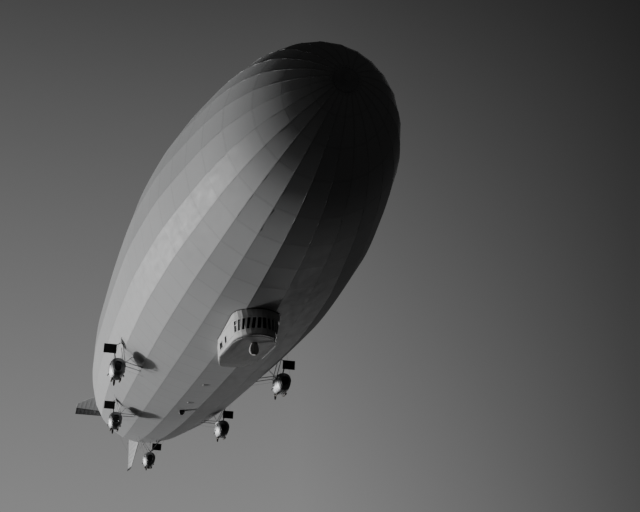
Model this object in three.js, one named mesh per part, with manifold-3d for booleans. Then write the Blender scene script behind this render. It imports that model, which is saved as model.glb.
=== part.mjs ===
// A rigid airship of the 1920s, modelled at 1:10.
// +X is forward, +Y is port and +Z is up. The origin is the hull's centre of buoyancy, on its axis.
// Lengths are millimetres of the model. Names that end in M hold full-size metres,
// and a station is the full-size distance in metres from the nose, measured aft.

import * as THREE from 'three';
import { mergeVertices } from 'three/addons/utils/BufferGeometryUtils.js';
import Module from 'manifold-3d';

const wasm = await Module();
wasm.setup();

// Driving dimensions
const MODEL = 100;                // model millimetres for each full-size metre, which is 1:10
const BUOYANCY_STATION = 95;
const HULL_SIDES = 24;
const COVER = 10;                 // thickness of the hull's cover and frames
const SEAT = 0.3;                 // gap between pieces that rest on each other
const RUNNING = 6;                // gap between a moving piece and its neighbour

const along = (station) => (BUOYANCY_STATION - station) * MODEL;
const full = (metres) => metres * MODEL;
const degrees = THREE.MathUtils.degToRad;

// Finishes
const finish = (color, roughness, metalness = 0, extra = {}) =>
  new THREE.MeshStandardMaterial({ color, roughness, metalness, ...extra });
const DOPED_CLOTH = finish(0xb9bab8, 0.55, 0.1);
const CAR_CLOTH = finish(0xd8d8d4, 0.6);
const ALUMINIUM = finish(0x9a9c9e, 0.45, 0.8);
const DARK_METAL = finish(0x24262a, 0.5, 0.6);
const ENGINE_GREY = finish(0x55585c, 0.5, 0.7);
const WOOD = finish(0x6b3f22, 0.4);
const RUBBER = finish(0x3a3936, 0.8);
const GLAZING = finish(0x9db0b8, 0.05, 0, { transparent: true, opacity: 0.35 });

const ship = new THREE.Group();

function place(name, geometry, material, parent = ship) {
  const mesh = new THREE.Mesh(geometry, material);
  mesh.name = name;
  parent.add(mesh);
  return mesh;
}

// Solids and booleans
function solidOf(geometry) {
  const bare = geometry.clone();
  bare.deleteAttribute('normal');
  bare.deleteAttribute('uv');
  const merged = mergeVertices(bare, 1e-3);
  const vertProperties = new Float32Array(merged.attributes.position.array);
  const triVerts = new Uint32Array(merged.index.array);
  const solid = new wasm.Manifold(new wasm.Mesh({ numProp: 3, vertProperties, triVerts }));
  if (solid.volume() > 0) return solid;
  const flipped = triVerts.slice();
  for (let i = 0; i < flipped.length; i += 3) {
    flipped[i + 1] = triVerts[i + 2];
    flipped[i + 2] = triVerts[i + 1];
  }
  return new wasm.Manifold(new wasm.Mesh({ numProp: 3, vertProperties, triVerts: flipped }));
}

function geometryOf(solid) {
  const mesh = solid.getMesh();
  const geometry = new THREE.BufferGeometry();
  geometry.setAttribute('position', new THREE.Float32BufferAttribute(mesh.vertProperties, 3));
  geometry.setIndex([...mesh.triVerts]);
  geometry.computeVertexNormals();
  return geometry;
}

const join = (solids) => solids.reduce((sum, solid) => sum.add(solid));

function box(size, centre) {
  return solidOf(new THREE.BoxGeometry(...size).translate(...centre));
}

// A round bar between two points
function bar(from, to, radius, sides = 8) {
  const run = to.clone().sub(from);
  const upright = new THREE.Vector3(0, 1, 0);
  const rod = new THREE.CylinderGeometry(radius, radius, run.length(), sides);
  rod.applyQuaternion(new THREE.Quaternion().setFromUnitVectors(upright, run.clone().normalize()));
  rod.translate(...from.clone().add(to).multiplyScalar(0.5).toArray());
  return solidOf(rod);
}

// The largest piece of a solid that a cut has left in several
const largest = (solid) => solid.decompose().sort((a, b) => b.volume() - a.volume())[0];

// A closed skin over sections that all have the same number of points
function loft(sections) {
  const count = sections[0].length;
  const positions = sections.flat().flatMap((point) => point.toArray());
  const index = [];
  for (let s = 0; s < sections.length - 1; s += 1) {
    for (let i = 0; i < count; i += 1) {
      const a = s * count + i;
      const b = s * count + (i + 1) % count;
      index.push(a, b, a + count, b, b + count, a + count);
    }
  }
  const cap = (section, first, facesOn) => {
    const centre = positions.length / 3;
    const middle = section.reduce((sum, point) => sum.add(point), new THREE.Vector3()).divideScalar(count);
    positions.push(...middle.toArray());
    for (let i = 0; i < count; i += 1) {
      const a = first + i;
      const b = first + (i + 1) % count;
      index.push(centre, ...(facesOn ? [a, b] : [b, a]));
    }
  };
  cap(sections[0], 0, false);
  cap(sections.at(-1), (sections.length - 1) * count, true);
  const geometry = new THREE.BufferGeometry();
  geometry.setAttribute('position', new THREE.Float32BufferAttribute(positions, 3));
  geometry.setIndex(index);
  return solidOf(geometry);
}

// Hull form: [station, radius to a corner of the frame], in full-size metres
const NOSE_STATION = 0.6;
const HULL_FORM_M = [
  [NOSE_STATION, 1.35], [1, 1.95], [3, 4.0], [7, 6.6], [13, 8.7], [22, 10.5], [35, 12.35], [55, 13.55],
  [80, 13.82], [100, 13.82], [125, 13.25], [140, 12.5], [155, 11.4], [170, 9.3], [185, 5.9],
  [196, 2.5], [200.66, 0.3],
];

function hullRadius(station) {
  const form = HULL_FORM_M;
  const last = form.length - 1;
  const slope = (i) => (form[i + 1][1] - form[i][1]) / (form[i + 1][0] - form[i][0]);
  const tangent = (i) => {
    if (i === 0) return slope(0);
    if (i === last) return slope(last - 1);
    const before = slope(i - 1);
    const after = slope(i);
    return before * after <= 0 ? 0 : 2 * before * after / (before + after);
  };
  let i = form.findIndex((row) => row[0] >= station) - 1;
  i = Math.min(Math.max(i, 0), last - 1);
  const run = form[i + 1][0] - form[i][0];
  const t = (station - form[i][0]) / run;
  return form[i][1] * (2 * t ** 3 - 3 * t ** 2 + 1) + run * tangent(i) * (t ** 3 - 2 * t ** 2 + t)
    + form[i + 1][1] * (3 * t ** 2 - 2 * t ** 3) + run * tangent(i + 1) * (t ** 3 - t ** 2);
}

// Turns a profile of [x, radius] about the ship's axis, with a flat facet at the bottom
function turned(profile, sides = HULL_SIDES) {
  const points = profile.map(([x, radius]) => new THREE.Vector2(radius, x));
  const lathe = new THREE.LatheGeometry(points, sides, Math.PI / sides);
  return lathe.rotateZ(-Math.PI / 2);
}

// Each length of the cover: [name, stations of its frames], with its ends open
const COVER_LENGTHS = [
  ['nose_cap', [NOSE_STATION, 1.1, 2, 3, 4.5, 7]],
  ['envelope_bow', [7, 10, 13.5, 18, 24, 30, 36]],
  ['envelope_forward', [36, 45, 55, 65, 80]],
  ['envelope_midship', [80, 100, 112, 125]],
  ['envelope_aft', [125, 133, 140, 148, 155, 161]],
  ['tail_cone', [161, 167, 173, 179, 185, 190, 195, 198.5, 200.66]],
];

for (const [name, stations] of COVER_LENGTHS) {
  const outer = stations.map((station) => [along(station), full(hullRadius(station))]);
  outer[0][0] -= SEAT / 2;
  outer.at(-1)[0] += SEAT / 2;
  const inner = outer.map(([x, radius]) => [x, Math.max(radius - COVER, 0)]).reverse();
  if (name === 'nose_cap') inner[inner.length - 1][0] -= COVER;
  if (name === 'tail_cone') inner[0] = [outer.at(-1)[0] + COVER, full(hullRadius(198.5)) * 0.3];
  const closesForward = name === 'nose_cap';
  const closesAft = name === 'tail_cone';
  const profile = [...outer, ...inner];
  if (closesForward) profile.unshift([outer[0][0], 0]);
  if (closesForward) profile.push([inner.at(-1)[0], 0]);
  if (closesAft) profile.splice(outer.length, 0, [outer.at(-1)[0], 0], [inner[0][0], 0]);
  if (!closesForward) profile.push(outer[0]);
  place(name, geometryOf(solidOf(turned(profile))), DOPED_CLOTH);
}

// The outside of the whole hull, grown by a gap, which cuts whatever is fixed to it
function hullBlock(gap) {
  const stations = [...new Set(COVER_LENGTHS.flatMap(([, list]) => list))];
  const rows = stations.map((station) => [along(station), full(hullRadius(station)) + gap]);
  return solidOf(turned([[rows[0][0], 0], ...rows, [rows.at(-1)[0], 0]]));
}
const HULL_SEAT = hullBlock(1.2 * SEAT);

// Mooring cone at the nose, a turned spindle on a flat plate: [distance ahead of the plate's back, radius]
const MOORING_PROFILE = [
  [0, 0], [0, 115], [8, 115], [12, 48], [38, 24], [42, 24], [42, 32], [50, 32], [59.7, 16], [59.7, 0],
];
const mooring = turned(MOORING_PROFILE.map(([x, radius]) => [along(NOSE_STATION) + SEAT + x, radius]), 16);
place('mooring_cone', geometryOf(solidOf(mooring)), DARK_METAL);

// Tail surfaces, made once as the top one with its span along +Z and turned about the axis.
// The leading edge is one straight line, and the section is thickest where the rudder hangs.
const HINGE_STATION = 189.2;
const TRAILING_STATION = 194.4;
const TRAILING_HALF_THICK = 4;
const FIN_ROOT_M = 2.6;
const FIN_TIP_M = 13.55;
const LEADING_TIP_STATION = 183;
const LEADING_SLOPE = 0.3;       // rise of the leading edge for each metre aft
const ROOT_HALF_THICK = 105;
const TIP_HALF_THICK = 26;
const RUDDER_ROOT_M = 5.4;
const ELEVATOR_DROOP = 10;       // degrees that the trailing edges of the elevators hang down
// Half thickness of the section as a share of the hinge's: [share of chord, share of thickness]
const FIN_SECTION = [[0, 0.1], [0.08, 0.3], [0.3, 0.62], [0.65, 0.92], [1, 1]];
const LUG_HEIGHTS_M = [6.2, 9.2, 12.3];
const LUG_WIDTH = 12;
const LUG_RADIUS = 11;
const LUG_BORE = 5.2;
const LUG_CLEARANCE = 6;
const LUG_ROOT = 25;             // how far an arm is let into the fin's rear post
const SLOT_LEAD = 20;            // how far a slot's cut starts ahead of the surface's nose
const PIN_RADIUS = 4.6;
const PIN_LET_IN = 6;

const hingeX = along(HINGE_STATION);
const halfThickAt = (heightM) => THREE.MathUtils.mapLinear(
  heightM, FIN_ROOT_M, FIN_TIP_M, ROOT_HALF_THICK, TIP_HALF_THICK);

function finBody() {
  const sections = [FIN_ROOT_M, FIN_TIP_M].map((heightM) => {
    const half = halfThickAt(heightM);
    const lead = along(LEADING_TIP_STATION - (FIN_TIP_M - heightM) / LEADING_SLOPE);
    const trail = hingeX + half + RUNNING;
    const at = ([chord, thick], side) =>
      new THREE.Vector3(THREE.MathUtils.lerp(lead, trail, chord), side * thick * half, full(heightM));
    return [...FIN_SECTION.map((row) => at(row, 1)), ...FIN_SECTION.toReversed().map((row) => at(row, -1))];
  });
  return loft(sections).subtract(HULL_SEAT);
}

// Round-ended hinge lugs that stand out from the fin's rear post
function finLugs() {
  return LUG_HEIGHTS_M.map((heightM) => {
    const reach = halfThickAt(heightM) + RUNNING + LUG_ROOT;
    const arm = box([reach, 2 * LUG_RADIUS, LUG_WIDTH], [hingeX + reach / 2, 0, full(heightM)]);
    const eye = bar(new THREE.Vector3(hingeX, 0, full(heightM) - LUG_WIDTH / 2),
      new THREE.Vector3(hingeX, 0, full(heightM) + LUG_WIDTH / 2), LUG_RADIUS, 16);
    const bore = bar(new THREE.Vector3(hingeX, 0, full(heightM) - LUG_WIDTH),
      new THREE.Vector3(hingeX, 0, full(heightM) + LUG_WIDTH), LUG_BORE, 12);
    return arm.add(eye).subtract(bore);
  });
}

// A rudder or elevator, made about its hinge line: a rounded nose, slotted for the lugs, and their pins
function controlSurface() {
  const trail = full(HINGE_STATION - TRAILING_STATION);
  const sections = [RUDDER_ROOT_M, FIN_TIP_M].map((heightM) => {
    const half = halfThickAt(heightM);
    const nose = [-90, -60, -30, 0, 30, 60, 90].map((angle) => new THREE.Vector3(
      half * Math.cos(degrees(angle)), half * Math.sin(degrees(angle)), full(heightM)));
    const tail = [1, -1].map((side) => new THREE.Vector3(trail, side * TRAILING_HALF_THICK, full(heightM)));
    return [...nose, ...tail];
  });
  let surface = loft(sections);
  const slotWidth = LUG_WIDTH + 2 * LUG_CLEARANCE;
  for (const heightM of LUG_HEIGHTS_M) {
    const front = halfThickAt(heightM) + SLOT_LEAD;
    const depth = front + LUG_RADIUS + LUG_CLEARANCE;
    const slot = box([depth, 3 * ROOT_HALF_THICK, slotWidth], [front - depth / 2, 0, full(heightM)]);
    const reach = slotWidth / 2 + PIN_LET_IN;
    const pin = bar(new THREE.Vector3(0, 0, full(heightM) - reach),
      new THREE.Vector3(0, 0, full(heightM) + reach), PIN_RADIUS, 12);
    surface = surface.subtract(slot).add(pin);
  }
  return surface;
}

const FIN_GEOMETRY = geometryOf(join([finBody(), ...finLugs()]));
const SURFACE_GEOMETRY = geometryOf(controlSurface());
// Tail surfaces: [fin, surface hinged to it, turn about the ship's axis, droop about its hinge], in degrees
const TAIL = [
  ['fin_top', 'rudder_top', 0, 0],
  ['fin_starboard', 'elevator_starboard', 90, ELEVATOR_DROOP],
  ['fin_bottom', 'rudder_bottom', 180, 0],
  ['fin_port', 'elevator_port', 270, -ELEVATOR_DROOP],
];
for (const [fin, surface, turn, droop] of TAIL) {
  const group = new THREE.Group();
  group.rotation.x = degrees(turn);
  place(fin, FIN_GEOMETRY.clone(), DOPED_CLOTH, group);
  const hinged = place(surface, SURFACE_GEOMETRY.clone(), DOPED_CLOTH, group);
  hinged.position.x = hingeX;
  hinged.rotation.z = degrees(droop);
  ship.add(group);
}

// Control and passenger car, hung straight under the hull, in full-size metres.
// Its walls lean in towards the floor, and its front is half an ellipse in plan.
const CAR_M = {
  corner: 35.5,           // station where the curved front meets the straight sides
  rear: 44.5,             // station where the cabin ends and the closed tail begins
  topHalf: 2.65,          // half width at the hull
  floorHalf: 2.2,         // half width at the floor
  topReach: 3.9,          // reach of the curved front ahead of the corner, at the hull
  floorReach: 4.7,        // the same at the floor
  topZ: -12.0,
  floorZ: -14.85,
  letIn: 1,               // how far the walls run on above the top before the hull cuts them
};
const WALL = 6;
const PANE = 2;
const PANE_LAP_M = 0.08;  // how far a pane laps behind its opening
const FRONT_STEPS = 14;
const wallLean = Math.atan((CAR_M.topHalf - CAR_M.floorHalf) / (CAR_M.topZ - CAR_M.floorZ));
const cornerX = along(CAR_M.corner);

// Front outline at a height: points from starboard round to port, inset by the wall where asked
function frontOutline(z, inset) {
  const rise = (z - CAR_M.floorZ) / (CAR_M.topZ - CAR_M.floorZ);
  const reach = full(THREE.MathUtils.lerp(CAR_M.floorReach, CAR_M.topReach, rise)) - inset;
  const half = full(THREE.MathUtils.lerp(CAR_M.floorHalf, CAR_M.topHalf, rise)) - inset;
  return Array.from({ length: FRONT_STEPS + 1 }, (_, i) => {
    const angle = Math.PI * (i / FRONT_STEPS - 0.5);
    return new THREE.Vector3(cornerX + reach * Math.cos(angle), half * Math.sin(angle), full(z));
  });
}

// Windows of the curved front, the same on both sides: [angle from dead ahead in degrees, width]
const FRONT_WINDOWS_M = [[6.5, 0.4], [19.5, 0.4], [32.5, 0.4], [45.5, 0.44], [58.5, 0.5], [72, 0.7]];
const WINDOW_M = { sill: -14.15, head: -12.95 };

function frontWindow(angle, width) {
  const height = full(WINDOW_M.head - WINDOW_M.sill);
  const throughWall = 20 * WALL;
  const hole = new THREE.BoxGeometry(throughWall, full(width), height);
  const reach = full((CAR_M.topReach + CAR_M.floorReach) / 2);
  const half = full((CAR_M.topHalf + CAR_M.floorHalf) / 2);
  const facing = Math.atan2(reach * Math.sin(degrees(angle)), half * Math.cos(degrees(angle)));
  hole.rotateZ(facing);
  hole.translate(cornerX + reach * Math.cos(degrees(angle)), half * Math.sin(degrees(angle)),
    full(WINDOW_M.sill) + height / 2);
  return solidOf(hole);
}

// The curved wall or pane between two insets, from one height to another, open at the rear
function frontSkin(outside, inside, lowZ, highZ, rearX) {
  const roomSide = full(12);
  const room = box([roomSide, roomSide, full(highZ - lowZ)],
    [rearX + roomSide / 2, 0, full((lowZ + highZ) / 2)]);
  const heights = [CAR_M.floorZ - 0.2, CAR_M.topZ + CAR_M.letIn];
  const block = (inset) => loft(heights.map((z) => frontOutline(z, inset)));
  return block(outside).subtract(block(inside)).intersect(room);
}

let frontWall = frontSkin(0, WALL, CAR_M.floorZ, CAR_M.topZ + 0.9 * CAR_M.letIn, cornerX + SEAT / 2);
for (const [angle, width] of FRONT_WINDOWS_M) {
  frontWall = frontWall.subtract(frontWindow(angle, width)).subtract(frontWindow(-angle, width));
}
place('car_front', geometryOf(frontWall.subtract(HULL_SEAT)), CAR_CLOTH);
const frontPane = frontSkin(WALL + SEAT, WALL + SEAT + PANE,
  WINDOW_M.sill - PANE_LAP_M, WINDOW_M.head + PANE_LAP_M, cornerX + 2 * PANE);
place('car_glass_front', geometryOf(frontPane), GLAZING);

// Side walls are flat plates that lean with the front's ends. A plate's own frame has its
// origin on the floor at the corner station: aft along the ship, up the slope, and outwards.
const slopeLength = full(CAR_M.topZ - CAR_M.floorZ + CAR_M.letIn) / Math.cos(wallLean);
const sideLength = full(CAR_M.rear - CAR_M.corner);
// Side windows: [station of the centre, width, sill, head], full-size metres, sill and head above the floor
const SIDE_WINDOWS_M = [[39.7, 0.9, 0.7, 1.4], [42.7, 1.6, 0.65, 1.35]];
const DOOR_M = {
  front: 37.6, rear: 38.5, foot: 0.12, head: 2.05, gap: 0.05, stile: 0.18, sill: 1.05, top: 1.85,
};

function rectangle(low, high) {
  const shape = new THREE.Shape();
  shape.moveTo(low[0], low[1]);
  shape.lineTo(high[0], low[1]);
  shape.lineTo(high[0], high[1]);
  shape.lineTo(low[0], high[1]);
  return shape;
}

// Puts a shape drawn as (aft, up, out) onto the leaning wall of one side; out is 0 at its outer face
function leanTo(geometry, side) {
  const aft = new THREE.Vector3(-1, 0, 0);
  const up = new THREE.Vector3(0, side * Math.sin(wallLean), Math.cos(wallLean));
  const out = new THREE.Vector3(0, side * Math.cos(wallLean), -Math.sin(wallLean));
  const matrix = new THREE.Matrix4().makeBasis(aft, up, out);
  matrix.setPosition(cornerX, side * full(CAR_M.floorHalf), full(CAR_M.floorZ));
  return solidOf(geometry.applyMatrix4(matrix));
}

// A leaning plate with its openings cut right through
function plate(outline, holes, outerFace, thickness, side) {
  const slab = (shape, low, depth) => leanTo(
    new THREE.ExtrudeGeometry(shape, { depth, bevelEnabled: false }).translate(0, 0, low), side);
  const whole = slab(outline, outerFace - thickness, thickness);
  const through = (hole) => slab(hole, outerFace - 2 * thickness, 3 * thickness);
  return holes.reduce((rest, hole) => rest.subtract(through(hole)), whole);
}

// A rectangle on the wall between two stations and two heights above the floor
const onWall = (front, rear, foot, head) => rectangle(
  [full(front - CAR_M.corner), full(foot)], [full(rear - CAR_M.corner), full(head)]);
const windowHole = ([station, width, sill, head]) =>
  onWall(station - width / 2, station + width / 2, sill, head);
const doorHole = onWall(DOOR_M.front - DOOR_M.gap, DOOR_M.rear + DOOR_M.gap,
  DOOR_M.foot - DOOR_M.gap, DOOR_M.head + DOOR_M.gap);

// Door hinges stand just outside the wall at the door's front edge: heights of the two, and their sizes
const HINGE_HEIGHTS_M = [0.5, 1.6];
const KNUCKLE = {
  radius: 4, length: 10, ear: 6, out: 4.6, leaf: 12, leafThick: 3, leafOut: 0.6, leafAside: 8,
};
const hingeAft = full(DOOR_M.front - DOOR_M.gap / 2 - CAR_M.corner);

function knuckle(low, high, towardsAft) {
  const barrel = new THREE.CylinderGeometry(KNUCKLE.radius, KNUCKLE.radius, high - low, 10);
  barrel.translate(hingeAft, (low + high) / 2, KNUCKLE.out);
  const leaf = new THREE.BoxGeometry(KNUCKLE.leaf, high - low, KNUCKLE.leafThick);
  const aside = towardsAft ? KNUCKLE.leafAside : -KNUCKLE.leafAside;
  leaf.translate(hingeAft + aside, (low + high) / 2, KNUCKLE.leafOut);
  return [barrel, leaf];
}

for (const [name, side] of [['port', 1], ['starboard', -1]]) {
  const outline = rectangle([SEAT / 2, 0], [sideLength - SEAT / 2, slopeLength]);
  const holes = SIDE_WINDOWS_M.map(windowHole);
  if (side === 1) holes.push(doorHole);
  let wall = plate(outline, holes, 0, WALL, side);
  if (side === 1) {
    for (const heightM of HINGE_HEIGHTS_M) {
      const middle = full(heightM);
      for (const way of [-1, 1]) {
        const near = middle + way * (KNUCKLE.length / 2 + SEAT);
        const far = near + way * KNUCKLE.ear;
        const pieces = knuckle(Math.min(near, far), Math.max(near, far), false);
        wall = join([wall, ...pieces.map((piece) => leanTo(piece, side))]);
      }
    }
  }
  place(`car_side_${name}`, geometryOf(wall.subtract(HULL_SEAT)), CAR_CLOTH);
  const lowest = Math.min(...SIDE_WINDOWS_M.map((row) => row[2])) - PANE_LAP_M;
  const highest = Math.max(...SIDE_WINDOWS_M.map((row) => row[3])) + PANE_LAP_M;
  const pane = onWall(DOOR_M.rear + 2 * PANE_LAP_M, CAR_M.rear - PANE_LAP_M, lowest, highest);
  place(`car_glass_${name}`, geometryOf(plate(pane, [], -WALL - SEAT, PANE, side)), GLAZING);
}

// The door, in the port wall, with its window cut
const doorOutline = onWall(DOOR_M.front, DOOR_M.rear, DOOR_M.foot, DOOR_M.head);
const doorWindow = onWall(DOOR_M.front + DOOR_M.stile, DOOR_M.rear - DOOR_M.stile, DOOR_M.sill, DOOR_M.top);
const doorSolids = [plate(doorOutline, [doorWindow], 0, WALL, 1)];
for (const heightM of HINGE_HEIGHTS_M) {
  const half = KNUCKLE.length / 2;
  const pieces = knuckle(full(heightM) - half, full(heightM) + half, true);
  doorSolids.push(...pieces.map((piece) => leanTo(piece, 1)));
}
place('car_door', geometryOf(join(doorSolids)), CAR_CLOTH);

// Floor: a plate under the walls, with the front's ellipse
const FLOOR_THICK = 8;
const floorHalf = full(CAR_M.floorHalf);
const floorShape = new THREE.Shape();
floorShape.moveTo(along(CAR_M.rear) + SEAT / 2, -floorHalf);
floorShape.lineTo(cornerX, -floorHalf);
floorShape.absellipse(cornerX, 0, full(CAR_M.floorReach), floorHalf, -Math.PI / 2, Math.PI / 2);
floorShape.lineTo(along(CAR_M.rear) + SEAT / 2, floorHalf);
const floorPlate = new THREE.ExtrudeGeometry(floorShape,
  { depth: FLOOR_THICK, bevelEnabled: false, curveSegments: FRONT_STEPS });
floorPlate.translate(0, 0, full(CAR_M.floorZ) - FLOOR_THICK - SEAT);
place('car_floor', geometryOf(solidOf(floorPlate)), CAR_CLOTH);

// Closed tail of the car: [station, share of the cabin's width, rise of its underside above the floor]
const CAR_TAIL_M = [
  [CAR_M.rear, 1, -(FLOOR_THICK + SEAT) / MODEL],
  [47.5, 0.84, 0],
  [50.5, 0.58, 0.25],
  [52.8, 0.3, 0.6],
  [54, 0.08, 0.95],
];
const TAIL_EDGE = 12;     // the rounding where the tail's sides meet its underside
const tailTopZ = full(CAR_M.topZ + CAR_M.letIn);
const tailTopHalf = floorHalf + Math.tan(wallLean) * (tailTopZ - full(CAR_M.floorZ));
const carTail = loft(CAR_TAIL_M.map(([station, share, rise], i) => {
  const x = along(station) - (i === 0 ? SEAT / 2 : 0);
  const foot = full(CAR_M.floorZ + rise);
  const low = floorHalf * share;
  const high = tailTopHalf * share;
  const edge = Math.min(TAIL_EDGE, low / 2);
  const portSide = [[low - edge, foot], [low, foot + edge], [high, tailTopZ]];
  return [
    ...portSide.map(([y, z]) => new THREE.Vector3(x, y, z)),
    ...portSide.toReversed().map(([y, z]) => new THREE.Vector3(x, -y, z)),
  ];
})).subtract(HULL_SEAT);
place('car_tail', geometryOf(carTail), CAR_CLOTH);

// Soft bumpers take the landing load, one under each centre-line car: [height above its foot, radius]
const CAR_BUMPER = [[0, 0], [0, 22], [10, 40], [35, 53], [70, 54], [105, 42], [120, 30], [128, 30], [128, 0]];
const CENTRE_BUMPER = [[0, 0], [0, 18], [8, 30], [30, 36], [60, 34], [80, 28], [80, 0]];

function bumper(profile, x, footZ) {
  const points = profile.map(([z, radius]) => new THREE.Vector2(radius, z));
  return solidOf(new THREE.LatheGeometry(points, 16).rotateX(Math.PI / 2).translate(x, 0, footZ));
}
const carBumperFoot = full(CAR_M.floorZ) - FLOOR_THICK - 2 * SEAT - CAR_BUMPER.at(-1)[0];
const CAR_BUMPER_STATION = 35;
place('car_bumper', geometryOf(bumper(CAR_BUMPER, along(CAR_BUMPER_STATION), carBumperFoot)), RUBBER);

// Steering stands inside the cabin: the rudder man faces forward and the elevator man to port
const STAND = {
  foot: 40, footThick: 6, height: 60, postRadius: 6, hubRadius: 7, hubBack: -8, hubFront: 14,
  wheelAhead: 10, wheel: 45, rim: 3, spoke: 2,
};
function steeringStand(name, stationM, yM, turn) {
  const foot = box([STAND.foot, STAND.foot, STAND.footThick], [0, 0, STAND.footThick / 2]);
  const post = bar(new THREE.Vector3(0, 0, STAND.footThick / 2), new THREE.Vector3(0, 0, STAND.height),
    STAND.postRadius);
  const hub = bar(new THREE.Vector3(STAND.hubBack, 0, STAND.height),
    new THREE.Vector3(STAND.hubFront, 0, STAND.height), STAND.hubRadius);
  const rim = solidOf(new THREE.TorusGeometry(STAND.wheel, STAND.rim, 5, FRONT_STEPS).rotateY(Math.PI / 2)
    .translate(STAND.wheelAhead, 0, STAND.height));
  const centre = new THREE.Vector3(STAND.wheelAhead, 0, STAND.height);
  const spokes = [0, 60, 120].map((angle) => {
    const tip = new THREE.Vector3(0, Math.cos(degrees(angle)), Math.sin(degrees(angle)));
    tip.multiplyScalar(STAND.wheel);
    return bar(centre.clone().sub(tip), centre.clone().add(tip), STAND.spoke, 4);
  });
  const stand = geometryOf(join([foot, post, hub, rim, ...spokes]));
  stand.rotateZ(degrees(turn));
  stand.translate(along(stationM), full(yM), full(CAR_M.floorZ) + SEAT);
  place(name, stand, DARK_METAL);
}
steeringStand('rudder_stand', 33, 0, 0);
steeringStand('elevator_stand', 34.6, 1, 90);

// Engine cars: [name, station, y, z, condenser's y and z from the car's centre], full-size metres
const ENGINE_CARS_M = [
  ['forward_port', 76.3, 11.7, -11.4, 1.15, 3.05],
  ['forward_starboard', 76.3, -11.7, -11.4, -1.15, 3.05],
  ['mid_port', 112, 9.1, -13.5, 1.1, 2.75],
  ['mid_starboard', 112, -9.1, -13.5, -1.1, 2.75],
  ['centre', 142.6, 0, -16.2, 1.4, 2.7],
];
const ENGINE_CAR = { halfWidth: 112, halfHeight: 140, skin: 6, topFlat: 0.38 };
// Profile of an engine car: [distance ahead of its centre, share of its full section]
const ENGINE_CAR_PROFILE = [
  [300, 0.5], [285, 0.64], [240, 0.83], [170, 0.95], [80, 1], [-20, 0.98], [-120, 0.88], [-220, 0.67],
  [-290, 0.42], [-320, 0.28],
];
// Its egg-shaped section, from the top down one side: [share of half width, share of half height]
const ENGINE_CAR_SECTION = [
  [0, 1], [ENGINE_CAR.topFlat, 0.96], [0.72, 0.78], [0.95, 0.42], [1, 0.05], [0.92, -0.32], [0.76, -0.66],
  [0.52, -0.92], [0.28, -1], [0, -1],
];

// The section at a share of full size, grown outwards by a gap, as [y, z] right round
function engineCarRing(share, gap) {
  const side = ENGINE_CAR_SECTION.map(([across, up]) => [
    across * ENGINE_CAR.halfWidth * share + Math.sign(across) * gap,
    up * (ENGINE_CAR.halfHeight * share + gap),
  ]);
  return [...side, ...side.slice(1, -1).reverse().map(([y, z]) => [-y, z])];
}

function engineCarBlock(gap, ends) {
  const rows = ENGINE_CAR_PROFILE.map(([x, share]) => [x, share]);
  rows[0][0] += ends;
  rows.at(-1)[0] -= ends;
  const ringAt = ([x, share]) => engineCarRing(share, gap).map(([y, z]) => new THREE.Vector3(x, y, z));
  return loft(rows.map(ringAt));
}
const CAR_OUTSIDE = engineCarBlock(SEAT, SEAT);
const CAR_ROOM = engineCarBlock(-ENGINE_CAR.skin - SEAT, 0);

// Two runners under each car take the ground: their place across, and their sizes
const RUNNER = { across: 57, length: 220, chamfer: 40, width: 24, top: -100, foot: -163 };
// An oval light in each side, ahead of the engine
const PORTHOLE = { ahead: 190, up: 40, halfWide: 16, halfTall: 26 };

function engineCarShell() {
  const shell = engineCarBlock(0, 0).subtract(engineCarBlock(-ENGINE_CAR.skin, 1));
  const half = RUNNER.length / 2;
  const footHalf = half - RUNNER.chamfer;
  const corners = [[half, RUNNER.top], [-half, RUNNER.top], [-footHalf, RUNNER.foot], [footHalf, RUNNER.foot]];
  const runnerSide = new THREE.Shape(corners.map(([ahead, up]) => new THREE.Vector2(ahead, up)));
  const runner = new THREE.ExtrudeGeometry(runnerSide, { depth: RUNNER.width, bevelEnabled: false });
  runner.rotateX(Math.PI / 2);
  const room = engineCarBlock(-ENGINE_CAR.skin / 2, 1);
  const runners = [1, -1].map((side) =>
    solidOf(runner.clone().translate(0, side * RUNNER.across + RUNNER.width / 2, 0)).subtract(room));
  const light = new THREE.CylinderGeometry(1, 1, 4 * ENGINE_CAR.halfWidth, 12);
  light.scale(PORTHOLE.halfWide, 1, PORTHOLE.halfTall).translate(PORTHOLE.ahead, 0, PORTHOLE.up);
  return join([shell, ...runners]).subtract(solidOf(light));
}
const CAR_SHELL = engineCarShell();

// Engine: one block on two bearers, the radiator ahead of it and the shaft astern of it
const ENGINE = {
  block: [190, 90, 105], blockAt: [20, 0, -15],
  bearer: [20, 240, 20], bearersAhead: [90, -50], bearerZ: -55,
  radiator: [14, 78, 86], radiatorAhead: 286,
  shaftRadius: 9, shaftFront: 100, shaftBack: -60, shaftEnd: -326,
};
const onAxis = (x) => new THREE.Vector3(x, 0, 0);
const ENGINE_BLOCK = join([
  box(ENGINE.block, ENGINE.blockAt),
  ...ENGINE.bearersAhead.map((ahead) => box(ENGINE.bearer, [ahead, 0, ENGINE.bearerZ]).intersect(CAR_ROOM)),
  box(ENGINE.radiator, [ENGINE.radiatorAhead, 0, 0]),
  bar(onAxis(ENGINE.radiatorAhead), onAxis(ENGINE.shaftFront), ENGINE.shaftRadius, 12),
  bar(onAxis(ENGINE.shaftBack), onAxis(ENGINE.shaftEnd), ENGINE.shaftRadius, 12),
]);

// Two-bladed wooden airscrew: [radius, chord, thickness, pitch in degrees]
const BLADE_SECTIONS = [
  [10, 22, 20, 50], [45, 26, 13, 42], [90, 34, 9, 30], [135, 30, 6, 22], [165, 18, 4, 18], [172, 8, 3, 16],
];
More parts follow.
